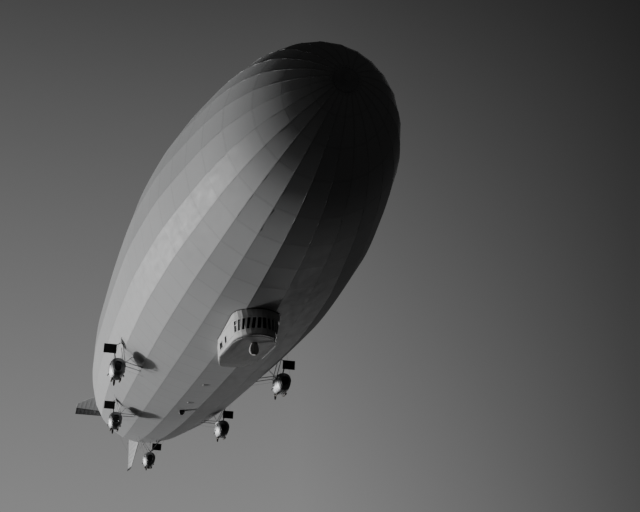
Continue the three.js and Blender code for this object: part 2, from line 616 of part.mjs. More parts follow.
// The blade's section: [share of chord, share of thickness]
const BLADE_OUTLINE = [[0.5, 0], [0.2, 0.5], [-0.2, 0.42], [-0.5, 0], [-0.2, -0.3], [0.2, -0.4]];
const HUB = { radius: 22, length: 30 };
const PROPELLER_X = ENGINE.shaftEnd - SEAT - HUB.length / 2;

const BLADE = loft(BLADE_SECTIONS.map(([radius, chord, thick, pitch]) => BLADE_OUTLINE.map(([across, out]) =>
  new THREE.Vector3(out * thick, across * chord, radius)
    .applyAxisAngle(new THREE.Vector3(0, 0, 1), degrees(pitch)))));
const PROPELLER = join([
  bar(onAxis(-HUB.length / 2), onAxis(HUB.length / 2), HUB.radius, 12),
  BLADE,
  BLADE.rotate([180, 0, 0]),
]);

// Struts: a rail on the car's shoulder and two V pairs up to the hull
const STRUTS = { ahead: [150, -130], radius: 5, spread: 9, rail: [320, 24, 60], sunk: 0.86, footUp: 22 };

// Distance from an engine car's axis to its skin in a direction across the ship
function shoulderReach(direction) {
  const ring = engineCarRing(1, 0);
  const reaches = ring.map(([y, z], i) => {
    const [nextY, nextZ] = ring[(i + 1) % ring.length];
    const edge = [nextY - y, nextZ - z];
    const cross = direction.y * edge[1] - direction.z * edge[0];
    const alongRay = (y * edge[1] - z * edge[0]) / cross;
    const alongEdge = (y * direction.z - z * direction.y) / cross;
    return alongRay > 0 && alongEdge >= 0 && alongEdge <= 1 ? alongRay : 0;
  });
  return Math.max(...reaches);
}

function strutFrame(x, y, z) {
  const bearing = Math.atan2(-y, -z);
  const inward = new THREE.Vector3(0, Math.sin(bearing), Math.cos(bearing));
  const seat = shoulderReach(inward) * STRUTS.sunk;
  const rail = solidOf(new THREE.BoxGeometry(...STRUTS.rail).rotateX(-bearing)
    .translate(0, inward.y * seat, inward.z * seat));
  const struts = STRUTS.ahead.flatMap((ahead) => [-1, 1].map((way) => {
    const foot = inward.clone().multiplyScalar(seat + STRUTS.footUp).setX(ahead);
    const spread = bearing + way * degrees(STRUTS.spread);
    const hull = full(hullRadius(BUOYANCY_STATION - (x + ahead) / MODEL));
    const head = new THREE.Vector3(ahead, -Math.sin(spread) * hull - y, -Math.cos(spread) * hull - z);
    return bar(foot, head, STRUTS.radius);
  }));
  const hullHere = HULL_SEAT.translate([-x, -y, -z]);
  return largest(join([rail, ...struts]).subtract(CAR_OUTSIDE).subtract(hullHere));
}

// Exhaust condenser: a flat panel that faces forward, on a pipe from the car's top, tied to the hull.
// The pipe leaves the car beside its top rail, runs up, and then in under the panel's near corner.
const CONDENSER = {
  width: 170, height: 120, thick: 16, aft: 60,
  pipe: 9, pipeFoot: 34, pipeRise: 40, pipeInset: 14, pipeTurn: 20, tie: 5, tieReach: 260,
};
function condenser(x, y, z, panelY, panelZ) {
  const side = Math.sign(panelY);
  const panel = box([CONDENSER.thick, CONDENSER.width, CONDENSER.height], [-CONDENSER.aft, panelY, panelZ]);
  const corner = panelY - side * (CONDENSER.width / 2 - CONDENSER.pipeInset);
  const route = new THREE.CatmullRomCurve3([
    [side * CONDENSER.pipeFoot, 0.7 * ENGINE_CAR.halfHeight],
    [side * CONDENSER.pipeFoot, ENGINE_CAR.halfHeight + CONDENSER.pipeRise],
    [corner, panelZ - CONDENSER.height / 2 - CONDENSER.pipeTurn],
    [corner, panelZ],
  ].map(([across, up]) => new THREE.Vector3(-CONDENSER.aft, across, up)));
  const round = new THREE.Shape().absarc(0, 0, CONDENSER.pipe, 0, 2 * Math.PI);
  const pipe = solidOf(new THREE.ExtrudeGeometry(round, { steps: 8, curveSegments: 4, extrudePath: route }));
  const towardsAxis = new THREE.Vector3(0, -y - panelY, -z - panelZ).normalize();
  const from = new THREE.Vector3(-CONDENSER.aft, panelY, panelZ);
  const tie = bar(from, from.clone().addScaledVector(towardsAxis, CONDENSER.tieReach), CONDENSER.tie);
  const hullHere = HULL_SEAT.translate([-x, -y, -z]);
  return largest(join([panel, pipe, tie]).subtract(hullHere).subtract(CAR_OUTSIDE));
}

const CENTRE_BUMPER_AHEAD = 60;
const CENTRE_BUMPER_FOOT_M = -17.98;   // makes the ship 31.8 m high over all

for (const [name, station, yM, zM, panelYM, panelZM] of ENGINE_CARS_M) {
  const [x, y, z] = [along(station), full(yM), full(zM)];
  const car = new THREE.Group();
  car.position.set(x, y, z);
  place(`engine_car_${name}`, geometryOf(CAR_SHELL), ALUMINIUM, car);
  place(`engine_${name}`, geometryOf(ENGINE_BLOCK), ENGINE_GREY, car);
  place(`struts_${name}`, geometryOf(strutFrame(x, y, z)), ALUMINIUM, car);
  place(`condenser_${name}`, geometryOf(condenser(x, y, z, full(panelYM), full(panelZM))), DARK_METAL, car);
  const propeller = place(`propeller_${name}`, geometryOf(PROPELLER), WOOD, car);
  propeller.position.x = PROPELLER_X;
  ship.add(car);
  if (name === 'centre') {
    const bag = bumper(CENTRE_BUMPER, CENTRE_BUMPER_AHEAD, full(CENTRE_BUMPER_FOOT_M) - z);
    const foot = bag.subtract(CAR_OUTSIDE);
    place('centre_bumper', geometryOf(foot), RUBBER, car);
  }
}

export default ship;
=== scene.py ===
import math
import bmesh
import bpy
from mathutils import Matrix, Vector


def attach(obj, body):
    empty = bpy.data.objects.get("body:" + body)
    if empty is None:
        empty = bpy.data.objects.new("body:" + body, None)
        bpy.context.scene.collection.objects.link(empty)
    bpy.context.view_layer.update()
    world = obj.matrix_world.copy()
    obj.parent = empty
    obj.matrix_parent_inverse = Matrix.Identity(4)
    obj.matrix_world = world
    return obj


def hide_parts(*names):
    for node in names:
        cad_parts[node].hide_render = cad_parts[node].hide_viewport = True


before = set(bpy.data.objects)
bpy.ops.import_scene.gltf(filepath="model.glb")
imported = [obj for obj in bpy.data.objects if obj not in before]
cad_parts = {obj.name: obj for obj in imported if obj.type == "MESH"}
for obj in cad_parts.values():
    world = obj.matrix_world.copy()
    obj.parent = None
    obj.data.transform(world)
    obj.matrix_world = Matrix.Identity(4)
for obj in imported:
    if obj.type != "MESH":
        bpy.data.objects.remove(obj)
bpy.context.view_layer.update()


# Viewpoint
# The ship passes overhead and slightly to the left, seen from below and ahead of the bow.
# The camera's place was worked out from the hull's outline, the cars and the fins.
def linked(name, data):
    made = bpy.data.objects.new(name, data)
    bpy.context.scene.collection.objects.link(made)
    return made


camera = linked("camera", bpy.data.cameras.new("camera"))
bpy.context.scene.camera = camera
camera.data.sensor_width = 36
camera.data.lens = 63.086
camera.data.clip_end = 500
view_right = Vector((0.245529, 0.968368, 0.044478))
view_up = Vector((0.27273, -0.113034, 0.955427))
turned = Matrix((view_right, view_up, view_right.cross(view_up))).transposed().to_4x4()
turned.translation = (17.518, -2.0812, -4.0583)
camera.matrix_world = turned


# Sky, floor and light
# A grey sky, paler low down and darker to port, over a pale floor. One low light from astern on the
# starboard side rakes along the underside, and weaker ones from astern serve the port side and top.
def arc(degrees, wide=1.0, tall=None):
    """Pairs of a width's cosine and a height's sine at angles in degrees"""
    return [(wide * math.cos(math.radians(a)), (wide if tall is None else tall) * math.sin(math.radians(a)))
            for a in degrees]


def ring_of(sides, wide, tall=None):
    return arc([360 * i / sides for i in range(sides)], wide, tall)


def add(tree, kind, values=None, **settings):
    """A node of a tree, with its settings, and its sockets set to a value or linked to another's output"""
    made = tree.nodes.new(kind)
    for key, value in settings.items():
        setattr(made, key, value)
    for socket, value in (values or {}).items():
        if isinstance(value, bpy.types.NodeSocket):
            tree.links.new(value, made.inputs[socket])
        else:
            made.inputs[socket].default_value = value
    return made


def ranged(tree, value, low, high, to_low=0.0, to_high=1.0):
    return add(tree, "ShaderNodeMapRange", {"Value": value, "From Min": low, "From Max": high,
                                            "To Min": to_low, "To Max": to_high}).outputs[0]


def mesh_of(name, points, faces=(), edges=()):
    mesh = bpy.data.meshes.new(name)
    mesh.from_pydata([tuple(point) for point in points], list(edges), list(faces))
    return mesh


for name, azimuth, elevation, energy, spread, glossy in (
        ("low_sun", -141, -8.5, 2.42, 3, True), ("sun_haze", -141, -9, 0.95, 40, True),
        ("low_fill", 160, -14, 0.14, 20, True), ("port_fill", 145, 22, 0.12, 10, False),
        ("port_beam", 156, 28, 1.9, 8, False), ("high_fill", 176, 28, 1.3, 5, False)):
    light = linked(name, bpy.data.lights.new(name, "SUN"))
    [(level, rise)] = arc([elevation])
    [(ahead, aside)] = arc([azimuth], level)
    light.rotation_mode = "QUATERNION"
    light.rotation_quaternion = Vector((ahead, aside, rise)).to_track_quat("Z", "Y")
    light.data.energy = energy
    light.data.angle = math.radians(spread)
    light.visible_glossy = glossy

sky = bpy.data.worlds.new("sky")
bpy.context.scene.world = sky
sky.use_nodes = True
sky_tree = sky.node_tree
sky_tree.nodes.clear()
direction = add(sky_tree, "ShaderNodeTexCoord").outputs["Generated"]
sky_height = add(sky_tree, "ShaderNodeSeparateXYZ", {0: direction}).outputs["Z"]
sky_aside = add(sky_tree, "ShaderNodeVectorMath", {0: direction, 1: (0.2455, 0.9684, 0.0445)},
                operation="DOT_PRODUCT").outputs["Value"]
sky_tone = add(sky_tree, "ShaderNodeMath", {0: ranged(sky_tree, sky_height, 0.03, 0.5, 0.2, 0.045),
                                            1: ranged(sky_tree, sky_aside, -0.02, 0.27, 1.3, 0.42)},
               operation="MULTIPLY").outputs[0]
shown_sky = add(sky_tree, "ShaderNodeBackground", {"Color": sky_tone, "Strength": 1.0}).outputs[0]
soft_fill = add(sky_tree, "ShaderNodeBackground", {"Color": (1, 1, 1, 1), "Strength": 0.012}).outputs[0]
seen = add(sky_tree, "ShaderNodeLightPath").outputs["Is Camera Ray"]
sky_mix = add(sky_tree, "ShaderNodeMixShader", {0: seen, 1: soft_fill, 2: shown_sky})
add(sky_tree, "ShaderNodeOutputWorld", {"Surface": sky_mix.outputs[0]})

FLOOR_HEIGHT, FLOOR_REACH, FLOOR_TONE = -4.25, 300, (0.62, 0.62, 0.61, 1)
floor = linked("floor", mesh_of("floor", [(x * FLOOR_REACH, y * FLOOR_REACH, FLOOR_HEIGHT) for x, y in
                                          ((-1, -1), (1, -1), (1, 1), (-1, 1))], [(0, 1, 2, 3)]))
floor_paint = bpy.data.materials.new("floor_paint")
floor_paint.use_nodes = True
floor_shader = floor_paint.node_tree.nodes["Principled BSDF"]
for socket, value in (("Base Color", FLOOR_TONE), ("Roughness", 0.8), ("Emission Color", FLOOR_TONE),
                      ("Emission Strength", 0.35)):
    floor_shader.inputs[socket].default_value = value
floor.data.materials.append(floor_paint)
for seen_by in ("visible_shadow", "visible_diffuse", "visible_glossy"):
    setattr(floor, seen_by, False)


# Hull cover
# Cotton cloth in strips, laced over two dozen long girders and a ring every five metres, then
# doped with aluminium. Each panel sinks a little between them, and doped tape covers the seams.
HULL_FORM = (
    (0.6, 1.35), (1, 1.95), (3, 4.0), (7, 6.6), (13, 8.7), (22, 10.5), (35, 12.35), (55, 13.55),
    (80, 13.82), (100, 13.82), (125, 13.25), (140, 12.5), (155, 11.4), (170, 9.3), (185, 5.9),
    (196, 2.5), (200.66, 0.3),
)
FACETS = 24
FACET_ANGLE = 2 * math.pi / FACETS
BUOYANCY_STATION = 95
WIDEST = 13.82
COVER_THICK, PANEL_SAG, TAPE_RISE = 0.008, 0.0009, 0.0004
EVEN_OUT, EVEN_SHARE = 4.5, 0.6
# Place within a panel from one girder or ring to the next, and whether tape lies there
PANEL_STEPS = ((0, 1), (0.022, 1), (0.036, 0), (0.27, 0), (0.5, 0), (0.73, 0), (0.964, 0), (0.978, 1))
# Name and node of each length of the cover, first and last station, panels along it, their grading
COVER_LENGTHS = (
    ("cover_nose", "nose_cap", 0.6, 7, 3, 1.6), ("cover_bow", "envelope_bow", 7, 36, 6, 1),
    ("cover_forward", "envelope_forward", 36, 80, 9, 1),
    ("cover_midship", "envelope_midship", 80, 125, 9, 1),
    ("cover_aft", "envelope_aft", 125, 161, 7, 1), ("cover_tail", "tail_cone", 161, 200.66, 8, 1),
)


def along(station):
    return (BUOYANCY_STATION - station) / 10


def station_at(x):
    return BUOYANCY_STATION - x * 10


def hull_radius(station):
    """Radius in metres of the model to a corner of the frame, from a smooth curve through the form"""
    rows = HULL_FORM
    station = min(max(station, rows[0][0]), rows[-1][0])
    at = next(i for i in range(len(rows) - 1) if station <= rows[i + 1][0])

    def slope(i):
        return (rows[i + 1][1] - rows[i][1]) / (rows[i + 1][0] - rows[i][0])

    def tangent(i):
        if i in (0, len(rows) - 1):
            return slope(min(i, len(rows) - 2))
        before, after = slope(i - 1), slope(i)
        return 0 if before * after <= 0 else 2 * before * after / (before + after)

    run = rows[at + 1][0] - rows[at][0]
    t = (station - rows[at][0]) / run
    return (rows[at][1] * (2 * t**3 - 3 * t**2 + 1) + run * tangent(at) * (t**3 - 2 * t**2 + t)
            + rows[at + 1][1] * (3 * t**2 - 2 * t**3) + run * tangent(at + 1) * (t**3 - t**2)) / 10


def facet_outward(facet):
    return Vector((0, math.sin(facet * FACET_ANGLE), -math.cos(facet * FACET_ANGLE)))


def hull_point(station, bearing, out=0.0):
    """Point of the faceted skin. Bearing counts facets from the keel towards port, halves are corners"""
    facet = math.floor(bearing + 0.5)
    corners = [facet_outward(facet + side) * hull_radius(station) for side in (-0.5, 0.5)]
    flat = corners[0].lerp(corners[1], bearing + 0.5 - facet) + facet_outward(facet) * out
    return Vector((along(station), flat.y, flat.z))


def made_plain(made, **kept):
    """Keeps what an object's modifiers make of it as its mesh, and takes the modifiers off"""
    graph = bpy.context.evaluated_depsgraph_get()
    made.data = bpy.data.meshes.new_from_object(made.evaluated_get(graph), depsgraph=graph, **kept)
    made.modifiers.clear()


def thickened(made, thick):
    """Gives an open skin its wall, inwards"""
    wall = made.modifiers.new("wall", "SOLIDIFY")
    wall.thickness = thick
    wall.offset = -1
    made_plain(made)


def settle(made, body, material, smooth=None):
    """Makes an object a piece of the ship: it rides on a body, names its finish, is smooth below an angle"""
    mesh = made.data
    mesh.materials.clear()
    mesh.materials.append(material)
    if smooth is not None:
        mesh.shade_smooth()
        mesh.set_sharp_from_angle(angle=math.radians(smooth))
    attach(made, body)


def finish_of(name, color, roughness, metallic=0.0, **plain):
    """A new material, its tree and its shader; sockets named in plain words are set as they are"""
    material = bpy.data.materials.new(name)
    material.use_nodes = True
    shader = material.node_tree.nodes["Principled BSDF"]
    sockets = {"Base Color": (*color, 1), "Roughness": roughness, "Metallic": metallic, **plain}
    for socket, value in sockets.items():
        shader.inputs[socket.replace("_", " ")].default_value = value
    return material, material.node_tree, shader


def group_of(name, inputs, outputs):
    """A new group of shader nodes with number outputs, and a vector and numbers as inputs"""
    tree = bpy.data.node_groups.new(name, "ShaderNodeTree")
    for socket, value in inputs.items():
        kind = "Vector" if value is None else "Float"
        made = tree.interface.new_socket(name=socket, in_out="INPUT", socket_type="NodeSocket" + kind)
        if value is not None:
            made.default_value = value
    for socket in outputs:
        tree.interface.new_socket(name=socket, in_out="OUTPUT", socket_type="NodeSocketFloat")
    return tree, tree.nodes.new("NodeGroupInput").outputs, tree.nodes.new("NodeGroupOutput").inputs


def stamp(tree, group, **values):
    return add(tree, "ShaderNodeGroup", values, node_tree=group).outputs


def maths(tree, operation, *values, clamp=False):
    node = add(tree, "ShaderNodeMath", dict(enumerate(values)), operation=operation, use_clamp=clamp)
    return node.outputs[0]


def noise(tree, where, scale, detail, **more):
    values = {"Vector": where, "Scale": scale, "Detail": detail, **more}
    return add(tree, "ShaderNodeTexNoise", values).outputs["Fac"]


def place_on(tree, stretch=None):
    """Place on the object, squeezed along its axes by a stretch"""
    where = add(tree, "ShaderNodeTexCoord").outputs["Object"]
    if stretch:
        where = add(tree, "ShaderNodeMapping", {"Vector": where, "Scale": stretch}).outputs[0]
    return where


def blended(tree, factor, dark, light):
    """A colour between two, by a factor from another node"""
    mixer = add(tree, "ShaderNodeMix", {"Factor": factor}, data_type="RGBA")
    for socket, value in (("A", dark), ("B", light)):
        target = next(s for s in mixer.inputs if s.name == socket and s.type == "RGBA")
        if isinstance(value, bpy.types.NodeSocket):
            tree.links.new(value, target)
        else:
            target.default_value = (*value, 1)
    return next(s for s in mixer.outputs if s.type == "RGBA")


def painted(tree, shader, factor, dark, light):
    tree.links.new(blended(tree, factor, dark, light), shader.inputs["Base Color"])


def raise_surface(tree, shader, height, strength, distance):
    bump = add(tree, "ShaderNodeBump", {"Height": height, "Strength": strength, "Distance": distance})
    tree.links.new(bump.outputs[0], shader.inputs["Normal"])


# Cloth weave: two crossed sets of threads, as a height, and flecks where a thread is thicker
weave_group, weave_in, weave_out = group_of("weave", {"Vector": None, "Threads": 900.0}, ("Height", "Fleck"))
threads = [add(weave_group, "ShaderNodeTexWave", {"Vector": weave_in["Vector"], "Scale": weave_in["Threads"],
                                                  "Distortion": 0.4}, bands_direction=axis).outputs["Fac"]
           for axis in ("X", "Z")]
weave_group.links.new(maths(weave_group, "MULTIPLY", *threads), weave_out["Height"])
weave_group.links.new(noise(weave_group, weave_in["Vector"], 60.0, 4.0), weave_out["Fleck"])

# Weathering: broad cloudy stains drawn out along one axis, with finer dirt in them
stain_group, stain_in, stain_out = group_of(
    "stains", {"Vector": None, "Scale": 1.0, "Low": 0.35, "High": 0.75}, ("Mask", "Dirt"))
cloudy = noise(stain_group, stain_in["Vector"], stain_in["Scale"], 6.0, Roughness=0.6)
finer = maths(stain_group, "MULTIPLY", stain_in["Scale"], 9.0)
stain_group.links.new(ranged(stain_group, cloudy, stain_in["Low"], stain_in["High"]), stain_out["Mask"])
stain_group.links.new(noise(stain_group, stain_in["Vector"], finer, 5.0), stain_out["Dirt"])

# Panel plan: the tone of each panel and of each strip, and how near a point is to a seam
panel_group, panel_in, panel_out = group_of(
    "panel_plan", {"Plan": None, "Tape": 0.95}, ("Panel", "Strip", "Seam", "Stitch"))
plan = add(panel_group, "ShaderNodeSeparateXYZ", {0: panel_in["Plan"]}).outputs
cells = [maths(panel_group, "FLOOR", plan[axis]) for axis in ("X", "Y")]
edges = [maths(panel_group, "MULTIPLY", maths(panel_group, "ABSOLUTE", maths(
    panel_group, "SUBTRACT", maths(panel_group, "FRACT", plan[axis]), 0.5)), 2.0) for axis in ("X", "Y")]
nearest = maths(panel_group, "MAXIMUM", *edges)
beside = maths(panel_group, "SUBTRACT", nearest, maths(panel_group, "SUBTRACT", panel_in["Tape"], 0.01))
for socket, cell in (("Panel", cells[1]), ("Strip", 0.5)):
    spot = add(panel_group, "ShaderNodeCombineXYZ", {"X": cells[0], "Y": cell}).outputs[0]
    tone = add(panel_group, "ShaderNodeTexWhiteNoise", {"Vector": spot}).outputs["Value"]
    panel_group.links.new(tone, panel_out[socket])
panel_group.links.new(maths(panel_group, "GREATER_THAN", nearest, panel_in["Tape"]), panel_out["Seam"])
panel_group.links.new(maths(panel_group, "LESS_THAN", maths(panel_group, "ABSOLUTE", beside), 0.004),
                      panel_out["Stitch"])


def doped_cloth(name, dark, light):
    """Aluminium-doped cotton: silvery grey, a little different from panel to panel, with taped seams"""
    material, tree, shader = finish_of(name, light, 0.5, Sheen_Weight=0.05, Specular_IOR_Level=0.1)
    panels = stamp(tree, panel_group, Plan=add(tree, "ShaderNodeUVMap", uv_map="panels").outputs[0])
    stained = stamp(tree, stain_group, Vector=place_on(tree, (0.6, 1.6, 1.6)))
    woven = stamp(tree, weave_group, Vector=place_on(tree), Threads=260.0)
    stain = maths(tree, "MULTIPLY", stained["Mask"], 0.45)
    by_strip = maths(tree, "MULTIPLY_ADD", panels["Strip"], 0.12, stain)
    tone = maths(tree, "MULTIPLY_ADD", panels["Panel"], 0.15, by_strip, clamp=True)
    taped = blended(tree, maths(tree, "MULTIPLY", panels["Seam"], 0.35), blended(tree, tone, dark, light),
                    tuple(0.8 * value for value in dark))
    painted(tree, shader, maths(tree, "MULTIPLY", panels["Stitch"], 0.35), taped, (0.12, 0.12, 0.12))
    tree.links.new(maths(tree, "MULTIPLY_ADD", stained["Dirt"], 0.22, 0.42), shader.inputs["Roughness"])
    height = maths(tree, "MULTIPLY_ADD", woven["Height"], 0.6, maths(tree, "MULTIPLY", woven["Fleck"], 0.5))
    raise_surface(tree, shader, height, 0.25, 0.0006)
    return material


hull_cloth = doped_cloth("hull_cloth", (0.475, 0.48, 0.485), (0.54, 0.545, 0.545))

columns = [(facet - 0.5 + share, share, tape) for facet in range(FACETS) for share, tape in PANEL_STEPS]
wide = len(columns)
cover_rows, cover_points = [], []
for _, _, first, last, panels, grading in COVER_LENGTHS:
    for i in range(panels):
        low, high = (first + (last - first) * ((i + share) / panels) ** grading for share in (0, 1))
        cover_rows += [(low + (high - low) * share, i + share, share, tape) for share, tape in PANEL_STEPS]
cover_rows.append((last, panels, 0, 1))
for station, _, up, ring_tape in cover_rows:
    for bearing, across, tape in columns:
        sag = PANEL_SAG * 16 * up * (1 - up) * across * (1 - across) * hull_radius(station) * 10 / WIDEST
        rise = TAPE_RISE if tape or ring_tape else 0
        cover_points.append(hull_point(station, bearing, rise - sag))


def facet_of(face):
    return face % wide // len(PANEL_STEPS)


def cover_faces(rows):
    """Faces between rows of the cover, each with its place in the panel plan"""
    faces, plan_of = [], []
    for row, (_, low, _, _) in enumerate(rows[:-1]):
        high = rows[row + 1][1] or math.ceil(low)
        for column in range(wide):
            after = (column + 1) % wide
            faces.append((row * wide + column, (row + 1) * wide + column, (row + 1) * wide + after,
                          row * wide + after))
            left = columns[column][0] + 0.5
            right = columns[after][0] + 0.5 if after else FACETS
            plan_of += [(left, low), (left, high), (right, high), (right, low)]
    return faces, plan_of


# The slope of the whole cover at each face corner, weighed by area within each flat side, so that
# its lengths meet without a visible step and the narrow tapes don't tilt the panels beside them
all_faces = cover_faces(cover_rows)[0]
side_slopes = {}
for number, face in enumerate(all_faces):
    a, b, c, d = (cover_points[i] for i in face)
    for i in face:
        side_slopes.setdefault((i, facet_of(number)), Vector())
        side_slopes[i, facet_of(number)] += (c - a).cross(d - b)
# The form's curve changes its bend at each row it was read from, so its lengthwise slope is evened out
for (i, _), slope in side_slopes.items():
    row = i // wide
    station = cover_rows[row][0]
    reach = min(EVEN_OUT, EVEN_SHARE * (station - cover_rows[0][0]),
                EVEN_SHARE * (cover_rows[-1][0] - station))
    if reach > 0.05:
        evened = (hull_radius(station + reach) - hull_radius(station - reach)) / (2 * reach)
        before, after = cover_rows[row - 1][0], cover_rows[row + 1][0]
        local = (hull_radius(after) - hull_radius(before)) / (after - before)
        slope.x += math.hypot(slope.y, slope.z) * 10 * (evened - local)
cover_slopes = [tuple(side_slopes[i, facet_of(number)].normalized())
                for number, face in enumerate(all_faces) for i in face]


def planned(mesh, plan_of):
    """Lays each face's place in the panel plan on a mesh"""
    layer = mesh.uv_layers.new(name="panels")
    for loop, place in zip(layer.data, plan_of):
        loop.uv = place
    return mesh


start = 0
for name, node, _, _, panels, _ in COVER_LENGTHS:
    end = start + panels * len(PANEL_STEPS)
    points = list(cover_points[start * wide:(end + 1) * wide])
    faces, plan_of = cover_faces(cover_rows[start:end + 1])
    for closed_node, row in (("nose_cap", 0), ("tail_cone", end - start)):
        if node == closed_node:
            points.append(Vector((points[row * wide].x, 0, 0)))
            for column in range(wide):
                ring = [row * wide + column, row * wide + (column + 1) % wide]
                faces.append((len(points) - 1, *(ring if row == 0 else reversed(ring))))
                plan_of += [(0.5, 0.5)] * 3
    cover = linked(name, planned(mesh_of(name, points, faces), plan_of))
    thickened(cover, COVER_THICK)
    settle(cover, "hull", hull_cloth, smooth=11)
    slopes = cover_slopes[start * wide * 4:end * wide * 4]
    cover.data.normals_split_custom_set(slopes + [(0, 0, 0)] * (len(cover.data.loops) - len(slopes)))
    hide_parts(node)
    start = end


# Tail fins and their hinged surfaces
# Four deep wooden-ribbed fins of doped cloth. The rudders and elevators have round noses, and
# hang on steel lugs that stand out from each fin's rear post.
HINGE_STATION, TRAILING_STATION, LEADING_TIP_STATION, LEADING_SLOPE = 189.2, 194.4, 183, 0.3
FIN_ROOT, FIN_TIP, SURFACE_ROOT = 0.26, 1.355, 0.54
ROOT_HALF_THICK, TIP_HALF_THICK, TRAILING_HALF_THICK = 0.105, 0.026, 0.004
FIN_SECTION = ((0, 0.1), (0.08, 0.3), (0.3, 0.62), (0.65, 0.92), (1, 1))
RIB_SPACING, RIB_SAG, RIB_RISE, RUNNING_GAP = 0.0913, 0.0022, 0.0006, 0.006
RIB_STEPS = ((0, 1), (0.07, 1), (0.11, 0), (0.35, 0), (0.65, 0), (0.89, 0), (0.93, 1))
# Each ring point's share of the sag between ribs
FIN_SAGGING = (0, 0, 0.4, 0.8, 1, 1, 1, 0.7, 0, 0, 0.7, 1, 1, 1, 0.8, 0.4, 0, 0)
SURFACE_SAGGING = (0,) * 13 + (0.8, 1, 0.8, 0, 0, 0.8, 1, 0.8)
LUG_HEIGHTS = (0.62, 0.92, 1.23)
LUG_WIDTH, LUG_RADIUS, LUG_BORE, LUG_CLEARANCE, PIN_RADIUS = 0.012, 0.011, 0.0052, 0.006, 0.0046
SLOT_HALF, LUG_FOOT_DEEP, SLOT_REACH, PIN_END = LUG_WIDTH / 2 + LUG_CLEARANCE, 0.02, 0.2, 0.006
HINGE_X = along(HINGE_STATION)
TAIL = (("fin_top", "rudder_top", 0, 0), ("fin_starboard", "elevator_starboard", 90, 10),
        ("fin_bottom", "rudder_bottom", 180, 0), ("fin_port", "elevator_port", 270, -10))

tail_cloth = doped_cloth("tail_cloth", (0.43, 0.435, 0.44), (0.53, 0.535, 0.535))
# Rudders and elevators in near-black dope: painted shade standing for the shadow on their undersides
surface_cloth_painted_shade = doped_cloth("surface_cloth_painted_shade", (0.11, 0.112, 0.115), (0.16, 0.162, 0.165))
lug_steel, lug_tree, lug_shader = finish_of("lug_steel", (0.3, 0.3, 0.31), 0.45, 0.9)
lug_grime = stamp(lug_tree, stain_group, Vector=place_on(lug_tree), Scale=30.0)["Mask"]
painted(lug_tree, lug_shader, lug_grime, (0.16, 0.15, 0.14), (0.36, 0.36, 0.37))


def half_thick(height):
    return ROOT_HALF_THICK + (TIP_HALF_THICK - ROOT_HALF_THICK) * (height - FIN_ROOT) / (FIN_TIP - FIN_ROOT)


def loft(rings, closed=False):
    """Points and faces of a skin over rings of points, closed end to end or with a flat face at each end"""
    count, faces = len(rings[0]), []
    for row in range(len(rings) if closed else len(rings) - 1):
        low, high = row * count, (row + 1) % len(rings) * count
        faces += [(low + i, low + (i + 1) % count, high + (i + 1) % count, high + i) for i in range(count)]
    if not closed:
        faces += [tuple(reversed(range(count))), tuple((len(rings) - 1) * count + i for i in range(count))]
    return [Vector(point) for ring in rings for point in ring], faces


def ribbed_skin(name, root, ring_at, sagging):
    """Closed skin from root to tip over rings at each height, sunk between its ribs"""
    bays = round((FIN_TIP - root) / RIB_SPACING)
    step = (FIN_TIP - root) / bays
    rows = [(root + (bay + share) * step, share, tape, bay + share) for bay in range(bays)
            for share, tape in RIB_STEPS] + [(FIN_TIP, 0, 1, bays)]
    rings, plan_of, count = [], [], len(sagging)
    for height, up, tape, _ in rows:
        rises = [RIB_RISE * tape * (1 if share else 0) - RIB_SAG * 4 * up * (1 - up) * share
                 for share in sagging]
        rings.append([(x, y + math.copysign(1, y) * rise, height)
                      for (x, y), rise in zip(ring_at(height), rises)])
    for (_, _, _, low), (_, _, _, high) in zip(rows, rows[1:]):
        for left, right in ((i / count * 4, (i + 1) / count * 4) for i in range(count)):
            plan_of += [(left, low), (right, low), (right, high), (left, high)]
    return linked(name, planned(mesh_of(name, *loft(rings)), plan_of + [(0.5, 0.5)] * (2 * count)))


def fin_ring(height):
    half = half_thick(height)
    lead = along(LEADING_TIP_STATION - (FIN_TIP - height) * 10 / LEADING_SLOPE)
    trail = HINGE_X + half + RUNNING_GAP
    side = [(near + (far - near) * t, thin + (thick - thin) * t)
            for (near, thin), (far, thick) in zip(FIN_SECTION, FIN_SECTION[1:]) for t in (0, 0.5)]
    port = [(lead + (trail - lead) * chord, half * thick) for chord, thick in (*side, FIN_SECTION[-1])]
    return port + [(x, -y) for x, y in reversed(port)]


def surface_ring(height):
    half = half_thick(height)
    trail = along(TRAILING_STATION) - HINGE_X
    flank = [(trail * share, half + (TRAILING_HALF_THICK - half) * share) for share in (0.25, 0.5, 0.75, 1)]
    return arc(range(-90, 91, 15), half) + flank + [(x, -y) for x, y in reversed(flank)]


def bar(start, end, radius, sides=10):
    """Points and faces of a round bar between two points"""
    spin = (Vector(end) - Vector(start)).to_track_quat("Z", "Y")
    ring = [spin @ Vector((x, y, 0)) for x, y in ring_of(sides, radius)]
    return loft([[Vector(base) + point for point in ring] for base in (start, end)])


def block(low, high):
    """Points and faces of a squared bar between two corners"""
    points = [Vector((x, y, z)) for x in (low[0], high[0]) for y in (low[1], high[1])
              for z in (low[2], high[2])]
    return points, [(0, 1, 3, 2), (4, 6, 7, 5), (0, 4, 5, 1), (2, 3, 7, 6), (0, 2, 6, 4), (1, 5, 7, 3)]


def merged(solids, at=None):
    """Several (points, faces) as one, moved to their place"""
    points, faces = [], []
    for some_points, some_faces in solids:
        faces += [tuple(i + len(points) for i in face) for face in some_faces]
        points += [at @ Vector(point) if at else Vector(point) for point in some_points]
    return points, faces


def piece(name, solids, body, material, smooth=None, at=None, outwards=False):
    """Solids as one piece of the ship, their faces turned outwards where a mirrored plan placed them"""
    made = linked(name, mesh_of(name, *merged(solids, at)))
    settle(made, body, material, smooth)
    if outwards:
        facing = bmesh.new()
        facing.from_mesh(made.data)
        bmesh.ops.recalc_face_normals(facing, faces=facing.faces)
        facing.to_mesh(made.data)
        facing.free()
    return made


